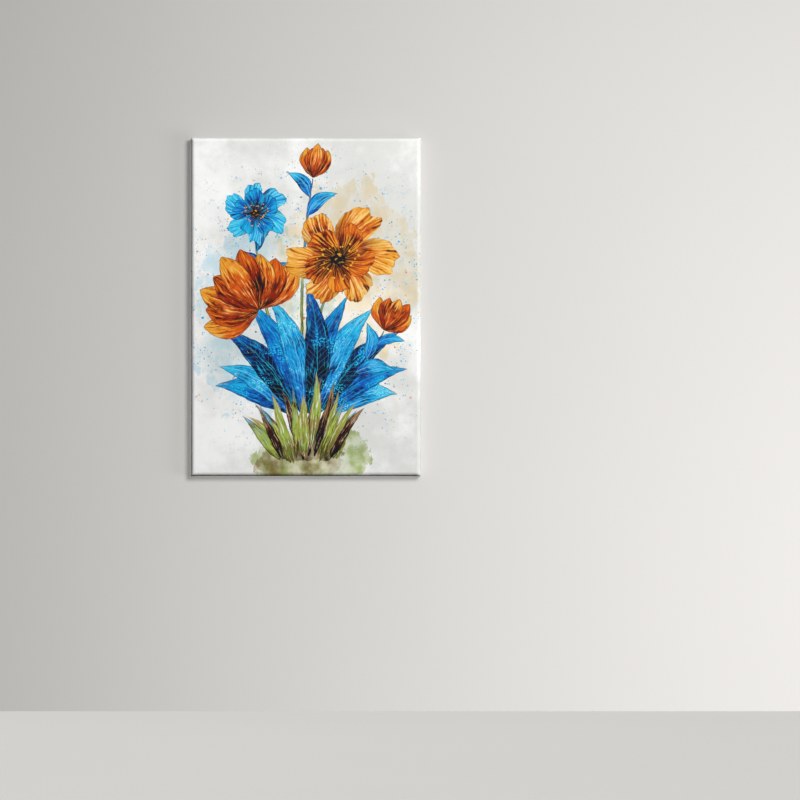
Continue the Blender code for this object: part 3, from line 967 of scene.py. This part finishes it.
def gathered(side, share, deep, length):
    """How far a point stands out from the plain wrap, as (outward, backward)."""
    level = side % 2 == 0
    run = width if level else height
    along = 0.5 * run if share is None else share * run
    past = max(length - (EDGE_ROLL * 0.5 * math.pi + depth - EDGE_ROLL), 0.0) / TURN_IN
    wave = 0.5 - 0.5 * math.cos(2 * math.pi * along / STAPLE_PITCH)
    out, lift = 0.0, EDGE_WAVE * wave * past**2
    if level and share is not None:
        fold = deep if past == 0.0 else depth + FOLD_LENGTH
        double = min(max((fold - min(along, run - along)) / FOLD_STEP, 0.0), 1.0)
        out = FOLD_RISE * double if past == 0.0 else 0.0
        lift += FOLD_RISE * double * min(past / FOLD_FULL, 1.0)
    return out, lift


def cut_wander(place):
    """How far the cut runs off its straight line."""
    sway = CUT_SWAY * math.sin(place.x * 37 + place.y * 53)
    return chance.uniform(-CUT_RAGGED, CUT_RAGGED) + sway


def front_pull(x, z):
    """How far the front stands back from its plane."""
    near_side, near_end = min(x - left, right - x), min(z - bottom, top - z)
    pull = 0.0
    for along, near in ((z - bottom, near_side), (x - left, near_end)):
        wave = math.cos(2 * math.pi * along / STAPLE_PITCH)
        pull += FRONT_PULL * wave * math.exp(-near / PULL_REACH)
    calm = min(near_side, near_end) - EDGE_ROLL
    return pull * min(calm / CALM_REACH, 1.0)


print("staples every", STAPLE_PITCH * 1000, "mm")

# %% [markdown]
# ## The sheet
#
# The sheet is made as it is wrapped: a loop of points for each step of the route, joined to the
# next by faces. The first loop is the border of the front, and it is filled with a plain grid.
# Each point keeps its place on the flat cloth, because the threads and the picture need it.

# %% Make the sheet
def join_rings(shape, rings):
    """Faces between rings of points that follow each other."""
    for near, far in zip(rings, rings[1:]):
        for k in range(len(near)):
            after = (k + 1) % len(near)
            shape.faces.new((near[k], near[after], far[after], far[k]))


def wrap_sides(shape, flat_place):
    """The loops round the frame. Returns the first one."""
    loops = []
    for inset, deep, length in wrap_route():
        loop = []
        for place, outward, side, share in loop_points(inset):
            out, lift = gathered(side, share, deep, length)
            if inset >= TURN_IN - 1e-6:
                out += cut_wander(place)
            moved = place + outward * out
            point = (middle_x + moved.x, front + deep + lift, middle_z + moved.y)
            loop.append(shape.verts.new(point))
            rim = place + outward * (inset + length - EDGE_ROLL)
            flat_place[loop[-1]] = (rim.x + width / 2, rim.y + height / 2)
        loops.append(loop)
    join_rings(shape, loops)
    return loops[0]


def fill_front(shape, rim, flat_place):
    """A grid of faces inside the first loop, which is its border."""
    sides, corners = [], []
    for cells in (ACROSS, UPRIGHT, ACROSS, UPRIGHT):
        sides.append(rim[:cells + 1])
        corners.append(rim[cells + 1])
        rim = rim[cells + 2:]
    low_row, right_row, high_row, left_row = sides
    rows = [[corners[3], *low_row, corners[0]]]
    for left_end, right_end in zip(left_row[::-1], right_row):
        row = [left_end]
        for below in low_row:
            x, z = below.co.x, left_end.co.z
            row.append(shape.verts.new((x, front + front_pull(x, z), z)))
            flat_place[row[-1]] = (x - left, z - bottom)
        rows.append([*row, right_end])
    rows.append([corners[2], *high_row[::-1], corners[1]])
    for low, high in zip(rows, rows[1:]):
        for j in range(ACROSS + 2):
            shape.faces.new((low[j], low[j + 1], high[j + 1], high[j]))


cloth_shape, cloth_flat = bmesh.new(), {}
fill_front(cloth_shape, wrap_sides(cloth_shape, cloth_flat), cloth_flat)
print("sheet:", len(cloth_shape.verts), "points,", len(cloth_shape.faces), "faces")

# %% [markdown]
# ## Thickness
#
# A Solidify modifier gives the sheet its 0.6 mm. Its inner side gets the raw finish through the
# modifier's material offset. The modifier is applied, because the maps have to be made for both
# sides. Each point's place on the flat cloth is stored in a map called flat.

# %% Turn the sheet into thick cloth
def to_object(name, shape, *materials, smooth=True):
    """Turns mesh work into an object of the scene."""
    if smooth:
        bmesh.ops.recalc_face_normals(shape, faces=shape.faces)
        for face in shape.faces:
            face.smooth = True
    mesh = bpy.data.meshes.new(name)
    shape.to_mesh(mesh)
    shape.free()
    for material in materials:
        mesh.materials.append(material)
    thing = bpy.data.objects.new(name, mesh)
    bpy.context.scene.collection.objects.link(thing)
    return thing


def finish_cloth(shape, flat_place):
    """Gives the sheet its map, its two finishes and its thickness."""
    flat_map = shape.loops.layers.uv.new("flat")
    for face in shape.faces:
        for loop in face.loops:
            loop[flat_map].uv = flat_place[loop.vert]
    sheet = to_object("printed_cloth", shape, printed_face, raw_face)
    flat_part = [p for p in sheet.data.polygons if abs(p.center.y - front) < EDGE_ROLL / 6]
    if sum(p.normal.y * p.area for p in flat_part) > 0:
        sheet.data.flip_normals()
    thick = sheet.modifiers.new("Thickness", "SOLIDIFY")
    thick.thickness, thick.offset = CLOTH, -1.0
    thick.material_offset = thick.material_offset_rim = 1
    graph = bpy.context.evaluated_depsgraph_get()
    solid = bpy.data.meshes.new_from_object(sheet.evaluated_get(graph))
    sheet.modifiers.clear()
    sheet.data = solid
    return sheet


printed_cloth = finish_cloth(cloth_shape, cloth_flat)
print("thick cloth:", len(printed_cloth.data.polygons), "faces")

# %% [markdown]
# ## The second map
#
# A second map, OFBake, has to lay both sides out without overlap. It could give each an equal
# half, but only the picture side carries fine detail. So that side gets most of the room, and the
# raw side is squeezed into a strip beside it.

# %% Add the second map and name the piece
OUTSIDE_SHARE = 0.86  # of the OFBake map's width
MAP_MARGIN = 0.01
MAP_ROOM = 1 - 2 * MAP_MARGIN


def add_bake_map(sheet):
    """Lays both sides out in one map and returns the flat cloth's width and height."""
    mesh = sheet.data
    flat = np.zeros(len(mesh.loops) * 2)
    mesh.uv_layers["flat"].data.foreach_get("uv", flat)
    flat = flat.reshape(-1, 2)
    low, high = flat.min(axis=0), flat.max(axis=0)
    packed = (flat - low) / (high - low).max() * MAP_ROOM + MAP_MARGIN
    raw = np.zeros(len(mesh.polygons), dtype=int)
    mesh.polygons.foreach_get("material_index", raw)
    loops = np.repeat(raw, [p.loop_total for p in mesh.polygons]) == 1
    packed[loops, 0] = OUTSIDE_SHARE + packed[loops, 0] * (MAP_ROOM - OUTSIDE_SHARE)
    bake = mesh.uv_layers.new(name="OFBake")
    bake.data.foreach_set("uv", packed.ravel())
    return high - low


cut_width, cut_height = add_bake_map(printed_cloth)
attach(printed_cloth, "root")
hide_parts("canvas_wrap")
print(f"cloth cut to {cut_width:.3f} x {cut_height:.3f} m")

# %% [markdown]
# ## Parts that come ready made
#
# A carried part keeps its shape, and gets a finish and a softened edge. Real edges are never
# knife sharp, and the narrow bevel catches the light.

# %% Finish a carried part
def dress(name, material, edge):
    """Gives a carried part its material and rounds its edges."""
    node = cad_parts[name]
    node.data.materials.clear()
    node.data.materials.append(material)
    soften = node.modifiers.new("Soft edges", "BEVEL")
    soften.width, soften.segments, soften.angle_limit = edge, 2, math.radians(35)


print("carried parts:", len(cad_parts))

# %% [markdown]
# ## Wires and round pieces
#
# The small things that the packed model leaves out or keeps plain are wires and round pieces. One
# helper sweeps a wire along a route, and another turns a profile round an axis. Both are rings of
# points with faces between them, closed at the two ends.

# %% Sweep a wire, turn a profile
def add_closed(shape, rings):
    """A closed body from rings of points."""
    join_rings(shape, rings)
    shape.faces.new(rings[0][::-1])
    shape.faces.new(rings[-1])


def add_wire(shape, route, half_sizes, sides, across):
    """A wire along a route. Its section is half_sizes, across the route and level with across."""
    rings = []
    turns = [2 * math.pi * k / sides for k in range(sides)]
    for i, point in enumerate(route):
        ahead = (route[min(i + 1, len(route) - 1)] - route[max(i - 1, 0)]).normalized()
        wide = ahead.cross(across).normalized() * half_sizes[0]
        tall = ahead.cross(wide).normalized() * half_sizes[1]
        ring = [point + wide * math.cos(a) + tall * math.sin(a) for a in turns]
        rings.append([shape.verts.new(place) for place in ring])
    add_closed(shape, rings)


def add_turned(shape, centre, profile, sides, unevenness):
    """A closed body turned round the y axis, from (radius, y) pairs."""
    rings = []
    for radius, deep in profile:
        ring = []
        for k in range(sides):
            angle = 2 * math.pi * k / sides
            reach = radius + chance.uniform(-unevenness, unevenness)
            place = (centre.x + reach * math.cos(angle), deep, centre.z + reach * math.sin(angle))
            ring.append(shape.verts.new(place))
        rings.append(ring)
    add_closed(shape, rings)


def make_piece(name, shape, material):
    """Turns mesh work into a piece of the object."""
    piece = to_object(name, shape, material)
    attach(piece, "root")
    return piece


print("helpers:", add_wire.__name__, "and", add_turned.__name__)

# %% [markdown]
# ## Boards
#
# The bars and the brace are planed pine, and the keys are beech. Wood is solid all through, so its
# figure is worked out in three dimensions: the rings are shells round a heart line that runs along
# the board. Each face then cuts them in its own way, in long flames on a side and in arcs on an end.
# Pale early wood turns slowly into the brown line of late wood, and the next ring starts sharply.
# Knots push the rings aside. The group takes the board's length as x.

# %% Build the board group
def build_board():
    takes = {"Vector": "Vector", "Heart": "Vector", "Rings": "Float", "Knots": "Float"}
    takes |= dict.fromkeys(("Early", "Late", "Knot"), "Color")
    g = new_group("board", takes, {"Color": "Color", "Height": "Float"})
    t = g.takes
    x, y, z = g.split(t["Vector"])
    start, heart_y, heart_z = g.split(t["Heart"])
    along = x + start
    # The rings sway a little along the board
    wander = g.join(along * 2.4, y * 9.0, z * 9.0)
    sway = g.channels(g.noise(wander, 1.0, detail=2.0, output="Color"))
    off_y = y - heart_y + sway[0].scaled(0.044, -0.022)
    off_z = z - heart_z + sway[1].scaled(0.020, -0.010)
    # A few cells hold a knot, which pushes the rings aside
    away, tint = g.cells(g.join(along * 7.0, y * 11.0, z * 11.0), 1.0)
    chosen = g.sum("LESS_THAN", g.channels(tint)[0], t["Knots"])
    bulge = chosen * g.rise(away, 0.34, 0.06, 0.0, 2.6)
    radius = g.vector("LENGTH", g.join(off_y, off_z))
    ring = g.sum("FRACT", radius.scaled(t["Rings"], bulge))
    late = g.rise(ring, 0.30, 0.92) * g.rise(ring, 1.0, 0.95)
    # Fibres and darker streaks are drawn out along the board
    fibres = g.join(along * 38.0, y * 1500.0, z * 1500.0)
    fibre = g.noise(fibres, 1.0, detail=3.0, rough=0.6)
    streaks = g.join(along * 6.0, y * 140.0, z * 140.0)
    streak = g.noise(streaks, 1.0, detail=4.0)
    colour = g.mix(late * 0.72, t["Early"], t["Late"])
    colour = g.glaze(colour, t["Late"], streak, 0.45, 0.75, 0.45)
    colour = g.glaze(colour, t["Knot"], fibre, 0.56, 0.76, 0.30)
    # The knot itself has close rings of its own
    eye = chosen * g.rise(away, 0.125, 0.095)
    turns = g.rise(g.sum("SINE", away * 260.0), -0.6, 0.9, 0.55, 1.0)
    colour = g.mix(eye * turns, colour, t["Knot"])
    height = 1.0 - fibre.scaled(0.6, late * 0.25)
    return give(g, Color=colour, Height=eye.scaled(0.3, height))


board_group = build_board()
print("board:", len(board_group.nodes), "nodes")

# %% [markdown]
# ## The frame behind the cloth
#
# Each bar is cut from another stretch of board: the same group, with another heart line. The bars at
# the sides stand upright, so their length runs along z. Dust and handling have greyed the
# wood unevenly.

# %% Dress the bars, the brace and the keys
PINE = (shade(226, 192, 142), shade(190, 140, 88), shade(120, 74, 42))
BEECH = (shade(222, 184, 144), shade(198, 152, 112), shade(168, 118, 82))
PINE_RINGS, BEECH_RINGS = 290.0, 620.0  # a metre
KNOTTY, CLEAR = 0.30, 0.0  # the share of places with a knot
UPRIGHT_BARS = ("bar_left", "bar_right")
LEVEL_BARS = ("bar_top", "bar_bottom", "cross_brace")
WOOD_EDGE = 0.0003


def make_wood(name, upright, heart, rings, knots, shades):
    material, g = new_material(name)
    x, y, z = g.split(g.get("Object", "TexCoord"))
    values = {"Vector": g.join(z, x, y) if upright else g.join(x, z, y), "Heart": heart}
    values |= {"Rings": rings, "Knots": knots} | dict(zip(("Early", "Late", "Knot"), shades))
    colour, height = g.get_all("Group", values, node_tree=board_group)
    soil = g.noise(g.join(x, y, z), 23.0, detail=5.0, rough=0.65)
    colour = g.glaze(colour, shade(150, 134, 112), soil, 0.52, 0.80, 0.35)
    rough = g.rise(soil, 0.35, 0.75, 0.58, 0.78)
    set_shader(g, colour, rough, (height, 0.5, 0.0004), specular=0.3)
    return material


for i, name in enumerate(UPRIGHT_BARS + LEVEL_BARS):
    upright = name in UPRIGHT_BARS
    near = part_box(name)[0]
    aside = near.x if upright else near.z
    heart = (1.7 * i, aside + 0.012 + 0.007 * i, near.y - 0.022 + 0.006 * i)
    pine = make_wood(f"pine_{name}", upright, heart, PINE_RINGS + 35 * i, KNOTTY, PINE)
    dress(name, pine, WOOD_EDGE)
key_names = sorted(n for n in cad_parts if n.startswith("key_"))
for i, name in enumerate(key_names):
    upright = name.startswith(("key_top", "key_bottom"))
    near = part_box(name)[0]
    aside = near.x if upright else near.z
    heart = (0.9 * i + 0.3, aside - 0.03, near.y - 0.02 - 0.004 * i)
    beech = make_wood(f"beech_{name}", upright, heart, BEECH_RINGS, CLEAR, BEECH)
    dress(name, beech, WOOD_EDGE)
print("boards:", len(UPRIGHT_BARS + LEVEL_BARS), "and keys:", len(key_names))

# %% [markdown]
# ## Zinc on steel
#
# The hanger, its nails and the staples are steel with a thin zinc coat. Zinc shows as
# crystals of slightly different grey, dulls in patches, and gets fine scratches from handling. A
# Voronoi texture gives the crystals, and noise drawn out along one line gives the scratches.

# %% Dress the hanger and the nails
PLATE_EDGE, NAIL_EDGE = 0.0001, 0.00025


def build_zinc():
    takes = {"Vector": "Vector", "Crystals": "Float", "Dull": "Float"}
    g = new_group("zinc", takes, {"Color": "Color", "Roughness": "Float", "Height": "Float"})
    t = g.takes
    x, y, z = g.split(t["Vector"])
    _, tint = g.cells(t["Vector"], t["Crystals"])
    crystal = g.channels(tint)[0]
    patch = g.noise(t["Vector"], 160.0, detail=4.0, rough=0.6)
    lines = g.join(x * 90.0, y * 900.0, z * 5200.0)
    scratch = g.rise(g.noise(lines, 1.0, detail=2.0), 0.62, 0.72)
    worn = g.rise(patch, 0.45, 0.70) * t["Dull"]
    colour = g.mix(crystal, shade(178, 181, 184), shade(208, 210, 211))
    colour = g.mix(worn, colour, shade(150, 148, 142))
    colour = g.mix(scratch * 0.4, colour, shade(232, 232, 230))
    rough = crystal.scaled(0.12, worn.scaled(0.22, 0.36))
    return give(g, Color=colour, Roughness=rough, Height=patch - scratch)


def make_zinc(name, crystals, dull):
    material, g = new_material(name)
    values = {"Vector": g.get("Object", "TexCoord"), "Crystals": crystals, "Dull": dull}
    colour, rough, height = g.get_all("Group", values, node_tree=zinc_group)
    set_shader(g, colour, rough, (height, 0.25, 0.0001), metallic=1.0)
    return material


zinc_group = build_zinc()
dress("hanger_plate", make_zinc("zinc_plate", 700.0, 0.8), PLATE_EDGE)
nail_zinc = make_zinc("zinc_nail", 1600.0, 0.5)
for name in ("hanger_nail_left", "hanger_nail_right"):
    dress(name, nail_zinc, NAIL_EDGE)
print("zinc:", len(zinc_group.nodes), "nodes")

# %% [markdown]
# ## Staples
#
# The cloth is held by wire staples, one about every 5 cm, shot into the bars while it is pulled
# tight. A staple is a flat wire bent twice, and only its crown shows. They stand where the cloth's
# edge dips. At the corners one more holds the fold at a slant. A hand tool never puts two
# down at quite the same angle. All of them are one joined mesh.

# %% Shoot the staples
CROWN, LEG = 0.0100, 0.0030
WIRE = (0.00025, 0.00055)  # half the wire's thickness and width
BEND = 0.0007
STAPLE_INSET = 0.015
FOLD_ALONG, FOLD_INWARD = 0.026, 0.013  # the slanting staple, from the corner
STAPLE_SWING = 0.16
WIRE_MIDDLE = 0.0002  # above the cloth


def staple_route(matrix):
    """Leg, bend, crown, bend, leg. Seen from behind, the crown lies along the matrix's x."""
    half = [(-CROWN / 2, -LEG), (-CROWN / 2, -BEND)]
    for a in (0.5, 1.1, math.pi / 2):
        half.append((-CROWN / 2 + BEND * (1 - math.cos(a)), -BEND * (1 - math.sin(a))))
    points = half + [(-x, y) for x, y in reversed(half)]
    return [matrix @ Vector((x, y, 0.0)) for x, y in points]


def staple_places():
    """(place, angle, height over the cloth's back) of each staple, from the picture's middle."""
    for side, run, away, turn in four_sides():
        level = math.pi / 2 * side
        inner = run / 2 - STAPLE_INSET - CORNER_TURN
        for k in range(1, int(run / STAPLE_PITCH)):
            share = k * STAPLE_PITCH / run
            place = turn @ Vector((inner * (2 * share - 1), STAPLE_INSET - away / 2))
            yield place, level + chance.uniform(-STAPLE_SWING, STAPLE_SWING), 0.0
        for end in (-1, 1) if side % 2 == 0 else ():
            place = turn @ Vector((end * (run / 2 - FOLD_ALONG), FOLD_INWARD - away / 2))
            yield place, level + end * chance.uniform(0.6, 0.9), FOLD_RISE


def make_staples():
    shape = bmesh.new()
    count = 0
    for place, angle, rise in staple_places():
        seat = Vector((middle_x + place.x, back + rise + WIRE_MIDDLE, middle_z + place.y))
        matrix = Matrix.Translation(seat) @ Matrix.Rotation(-angle, 4, "Y")
        across = matrix.to_3x3() @ Vector((0.0, 0.0, 1.0))
        add_wire(shape, staple_route(matrix), WIRE, 8, across)
        count += 1
    print("staples:", count)
    return make_piece("staples", shape, make_zinc("zinc_wire", 2400.0, 0.3))


make_staples()

# %% [markdown]
# ## Loose threads
#
# A cut edge of plain weave frays: the outermost threads come off, and the ends of the others stick
# out as a fringe. A fringe of short wires with a random curl, lying on the wood, is enough.

# %% Fray the cut edge
THREAD_RADIUS = 0.00016
SHORT_STEP, LONG_STEP, THREAD_STEPS = 0.0006, 0.0015, 7
LONG_SHARE = 0.12
FIRST_THREAD = TURN_IN + 0.006  # from the corner
THREAD_GAP = (0.004, 0.011)
THREAD_ROOT = 0.0015  # how far it starts under the cloth


def make_thread_finish():
    material, g = new_material("cotton_thread")
    fuzz = g.noise(g.get("Object", "TexCoord"), 2600.0, detail=3.0, rough=0.7)
    colour = g.glaze(shade(196, 184, 160), shade(236, 230, 216), fuzz, 0.35, 0.65)
    set_shader(g, colour, g.rise(fuzz, 0.3, 0.7, 0.85, 0.97), (fuzz, 0.6, 0.0001))
    return material


def thread_route(place, turn, level):
    """A curled line that starts at a place on the cut edge and lies on the wood."""
    heading = math.pi / 2 + chance.uniform(-0.5, 0.5)
    step = LONG_STEP if chance.random() < LONG_SHARE else SHORT_STEP
    route = []
    for i in range(THREAD_STEPS):
        moved = turn @ place
        lift = THREAD_RADIUS + 0.0003 * chance.random() * i / (THREAD_STEPS - 1)
        route.append(Vector((middle_x + moved.x, level + lift, middle_z + moved.y)))
        place = place + Vector((math.cos(heading), math.sin(heading))) * step
        heading += chance.uniform(-0.45, 0.45)
    return route


def make_threads():
    shape = bmesh.new()
    wood_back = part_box("bar_left")[1].y
    count = 0
    for _, run, away, turn in four_sides():
        at = FIRST_THREAD
        while at < run - FIRST_THREAD:
            place = Vector((at - run / 2, TURN_IN - THREAD_ROOT - away / 2))
            route = thread_route(place, turn, wood_back)
            add_wire(shape, route, (THREAD_RADIUS, THREAD_RADIUS), 5, Vector((0.0, 1.0, 0.0)))
            at += chance.uniform(*THREAD_GAP)
            count += 1
    print("loose threads:", count)
    return make_piece("loose_threads", shape, make_thread_finish())


make_threads()

# %% [markdown]
# ## Felt bumpers
#
# Two felt dots keep the lower corners off the wall. A punched dot of felt is a low
# drum with a rounded, slightly uneven rim, and its face dishes a little in the middle. Its fibres lie
# every way, so noise at two scales, without any direction, makes the fuzz.

# %% Punch the felt dots
RIM_SHARE = 0.3  # of the thickness, rounded
DISH = 0.0001
FUZZ = 0.00006  # unevenness of the rim


def make_felt():
    material, g = new_material("grey_felt")
    place = g.get("Object", "TexCoord")
    tuft = g.noise(place, 900.0, detail=5.0, rough=0.7)
    fibre = g.noise(g.vector("MULTIPLY", place, (5200.0, 5200.0, 700.0)), 1.0, detail=3.0)
    colour = g.glaze(shade(72, 71, 70), shade(122, 121, 118), tuft, 0.35, 0.65)
    colour = g.glaze(colour, shade(168, 167, 163), fibre, 0.60, 0.70, 0.6)
    rough = g.rise(tuft, 0.3, 0.7, 0.9, 1.0)
    set_shader(g, colour, rough, (tuft + fibre, 0.8, 0.0003), specular=0.1, sheen=0.4)
    return material


def make_dot(name, node, finish):
    low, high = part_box(node)
    radius, thick, centre = (high.x - low.x) / 2, high.y - low.y, (low + high) / 2
    roll = thick * RIM_SHARE
    profile = [(0.0003, low.y), (radius - 0.0002, low.y), (radius, low.y + 0.0002)]
    profile.append((radius, high.y - roll))
    for a in (0.5, 1.0, 1.5):
        profile.append((radius - roll * (1 - math.cos(a)), high.y - roll * (1 - math.sin(a))))
    for share in (0.75, 0.5, 0.25, 0.05):
        profile.append((radius * share, high.y - DISH * (1 - share)))
    shape = bmesh.new()
    add_turned(shape, centre, profile, 48, FUZZ)
    dot = make_piece(name, shape, finish)
    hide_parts(node)
    return dot


felt = make_felt()
felt_dots = [make_dot(f"felt_{side}", f"bumper_{side}", felt) for side in ("left", "right")]
print("felt dots:", len(felt_dots))

# %% [markdown]
# ## The stage
#
# The wall is a plane just behind the picture and the floor lies well below it. Both are seen from
# one side only, so that the back of the frame can be looked at too.

# %% Make the wall and the floor
FLOOR_BELOW = 1.20  # the floor, below the middle of the picture
WALL_BEHIND = 0.0004
STAGE_HALF = 9.0  # half the side of each plane


def make_stage_material(name, colour, mottle):
    material, g = new_material(name)
    patch = g.noise(g.get("Object", "TexCoord"), mottle, detail=4.0)
    paint = g.mix(patch, shade(*colour), shade(*[c - 5 for c in colour]))
    solid = set_shader(g, paint, 0.9, specular=0.2)
    side = g.get("Backfacing", "NewGeometry")
    shadow = g.get("Is Shadow Ray", "LightPath")
    faces = {0: g.sum("MAXIMUM", side, shadow), 1: solid, 2: g.get(0, "BsdfTransparent")}
    g.feed(g.tree.nodes["Material Output"].inputs["Surface"], g.get(0, "MixShader", faces))
    return material


def make_plane(name, material, matrix):
    shape = bmesh.new()
    bmesh.ops.create_grid(shape, x_segments=1, y_segments=1, size=STAGE_HALF)
    plane = to_object(name, shape, material, smooth=False)
    plane.matrix_world = matrix
    return plane


wall_paint = make_stage_material("wall_paint", (189, 187, 184), 0.8)
floor_paint = make_stage_material("floor_paint", (232, 230, 226), 0.6)
floor_level = middle_z - FLOOR_BELOW
wall_turn = Matrix.Translation((0, WALL_BEHIND, 0)) @ Matrix.Rotation(math.pi / 2, 4, "X")
wall = make_plane("wall", wall_paint, wall_turn)
floor = make_plane("floor", floor_paint, Matrix.Translation((0, 0, floor_level)))
print("wall and floor:", wall.name, floor.name)

# %% [markdown]
# ## Light
#
# The room's light comes from a window at the upper right, with a softer glow from the side and
# from below. One lamp alone can't both rake along the picture and light a whole wall evenly. But
# a lamp can be told which objects it lights, with light linking, so the picture, the wall and the
# floor get lamps of their own. The picture's window stands far to the side and high, which leaves
# the left and lower edges dark, and a small glow from above draws the light line along the top.
# The wall's own window throws the soft shadow to the lower left. A glow from the side and one
# without shadows fill it in. The floor has an even sun to itself, and two lamps behind the wall
# show the frame's back.

# %% Light the room
picture_middle = Vector((middle_x, front, middle_z))


def chosen_objects(name, things, state):
    """A collection for light linking. The state is INCLUDE or EXCLUDE."""
    group = bpy.data.collections.new(name)
    for thing in things:
        group.objects.link(thing)
    for member in group.collection_objects:
        member.light_linking.link_state = state
    return group


def add_light(name, offset, size, energy, lights, kind="AREA"):
    """A lamp that looks at the picture. The lights are what it shines on."""
    lamp = bpy.data.lights.new(name, kind)
    lamp.energy = energy
    if kind == "AREA":
        lamp.shape, lamp.size = "DISK", size
    carrier = bpy.data.objects.new(name, lamp)
    carrier.location = picture_middle + Vector(offset)
    carrier.rotation_euler = (-Vector(offset)).to_track_quat("-Z", "Y").to_euler()
    carrier.light_linking.receiver_collection = lights
    bpy.context.scene.collection.objects.link(carrier)
    return lamp


above_floor = chosen_objects("above_floor", [floor], "EXCLUDE")
no_stage = chosen_objects("no_stage", [wall, floor], "EXCLUDE")
only_wall = chosen_objects("only_wall", [wall], "INCLUDE")
only_floor = chosen_objects("only_floor", [floor], "INCLUDE")
add_light("picture_window", (4.00, -5.20, 2.90), 2.9, 660, no_stage)
add_light("ceiling_glow", (-0.40, -1.10, 2.60), 1.4, 6, no_stage)
add_light("back_fill", (1.60, 3.00, 1.00), 2.0, 50, above_floor)
add_light("left_fill", (-1.60, 3.00, 0.60), 2.0, 54, above_floor)
add_light("wall_window", (1.80, -4.00, 1.20), 1.7, 172, only_wall)
add_light("side_glow", (3.10, -1.70, -0.80), 1.6, 38, only_wall)
wall_glow = add_light("wall_glow", (1.60, -3.20, -3.40), 2.5, 150, only_wall)
wall_glow.use_shadow = False
add_light("floor_sun", (0.50, -1.00, 3.00), 0.0, 2.6, only_floor, "SUN")
for surface in (wall, floor):
    surface.visible_diffuse = surface.visible_glossy = False
print("lights:", len(bpy.data.lights))

# %% [markdown]
# ## The surroundings
#
# The world gives a faint light from all round. Where the camera looks past the wall, as from
# behind, it sees a pale grey instead, and that light reaches nothing.

# %% Set up the world
AMBIENT, BACKDROP = 0.06, 0.55


def make_world():
    world = bpy.data.worlds.new("studio")
    bpy.context.scene.world = world
    world.use_nodes = True
    sky = Graph(world.node_tree)
    seen = sky.get("Is Camera Ray", "LightPath")
    background = world.node_tree.nodes["Background"]
    sky.feed(background.inputs["Strength"], sky.rise(seen, 0.0, 1.0, AMBIENT, BACKDROP))
    background.inputs["Color"].default_value = (1.0, 1.0, 1.0, 1.0)


make_world()
bpy.context.scene.view_settings.view_transform = "Standard"
print("ambient light:", AMBIENT)

# %% [markdown]
# ## The camera
#
# The viewer stands a little to the right of the picture and below its middle, and holds the camera
# level, so all upright lines stay upright. The picture is then moved to its place in the frame
# with the lens shift, as on a view camera, and not by tilting.

# %% Set up the camera
VIEW_DISTANCE = 6.0
PICTURE_SHARE = 0.4232  # of the frame's height that the picture fills
EYE_RIGHT, EYE_BELOW = 0.129, 0.4025  # from the middle of the picture
SHIFT_RIGHT, SHIFT_UP = 0.0631, 0.0538

camera_data = bpy.data.cameras.new("camera")
camera_data.sensor_width = 36.0
camera_data.lens = camera_data.sensor_width * PICTURE_SHARE * VIEW_DISTANCE / height
camera_data.shift_x, camera_data.shift_y = SHIFT_RIGHT, SHIFT_UP
camera = bpy.data.objects.new("camera", camera_data)
camera.location = picture_middle + Vector((EYE_RIGHT, -VIEW_DISTANCE, -EYE_BELOW))
camera.rotation_euler = (math.pi / 2, 0.0, 0.0)
bpy.context.scene.collection.objects.link(camera)
bpy.context.scene.camera = camera
print(f"lens {camera_data.lens:.1f} mm")

# %% [markdown]
# ## Finish
#
# The dressed model is meant to keep the size of the packed one.
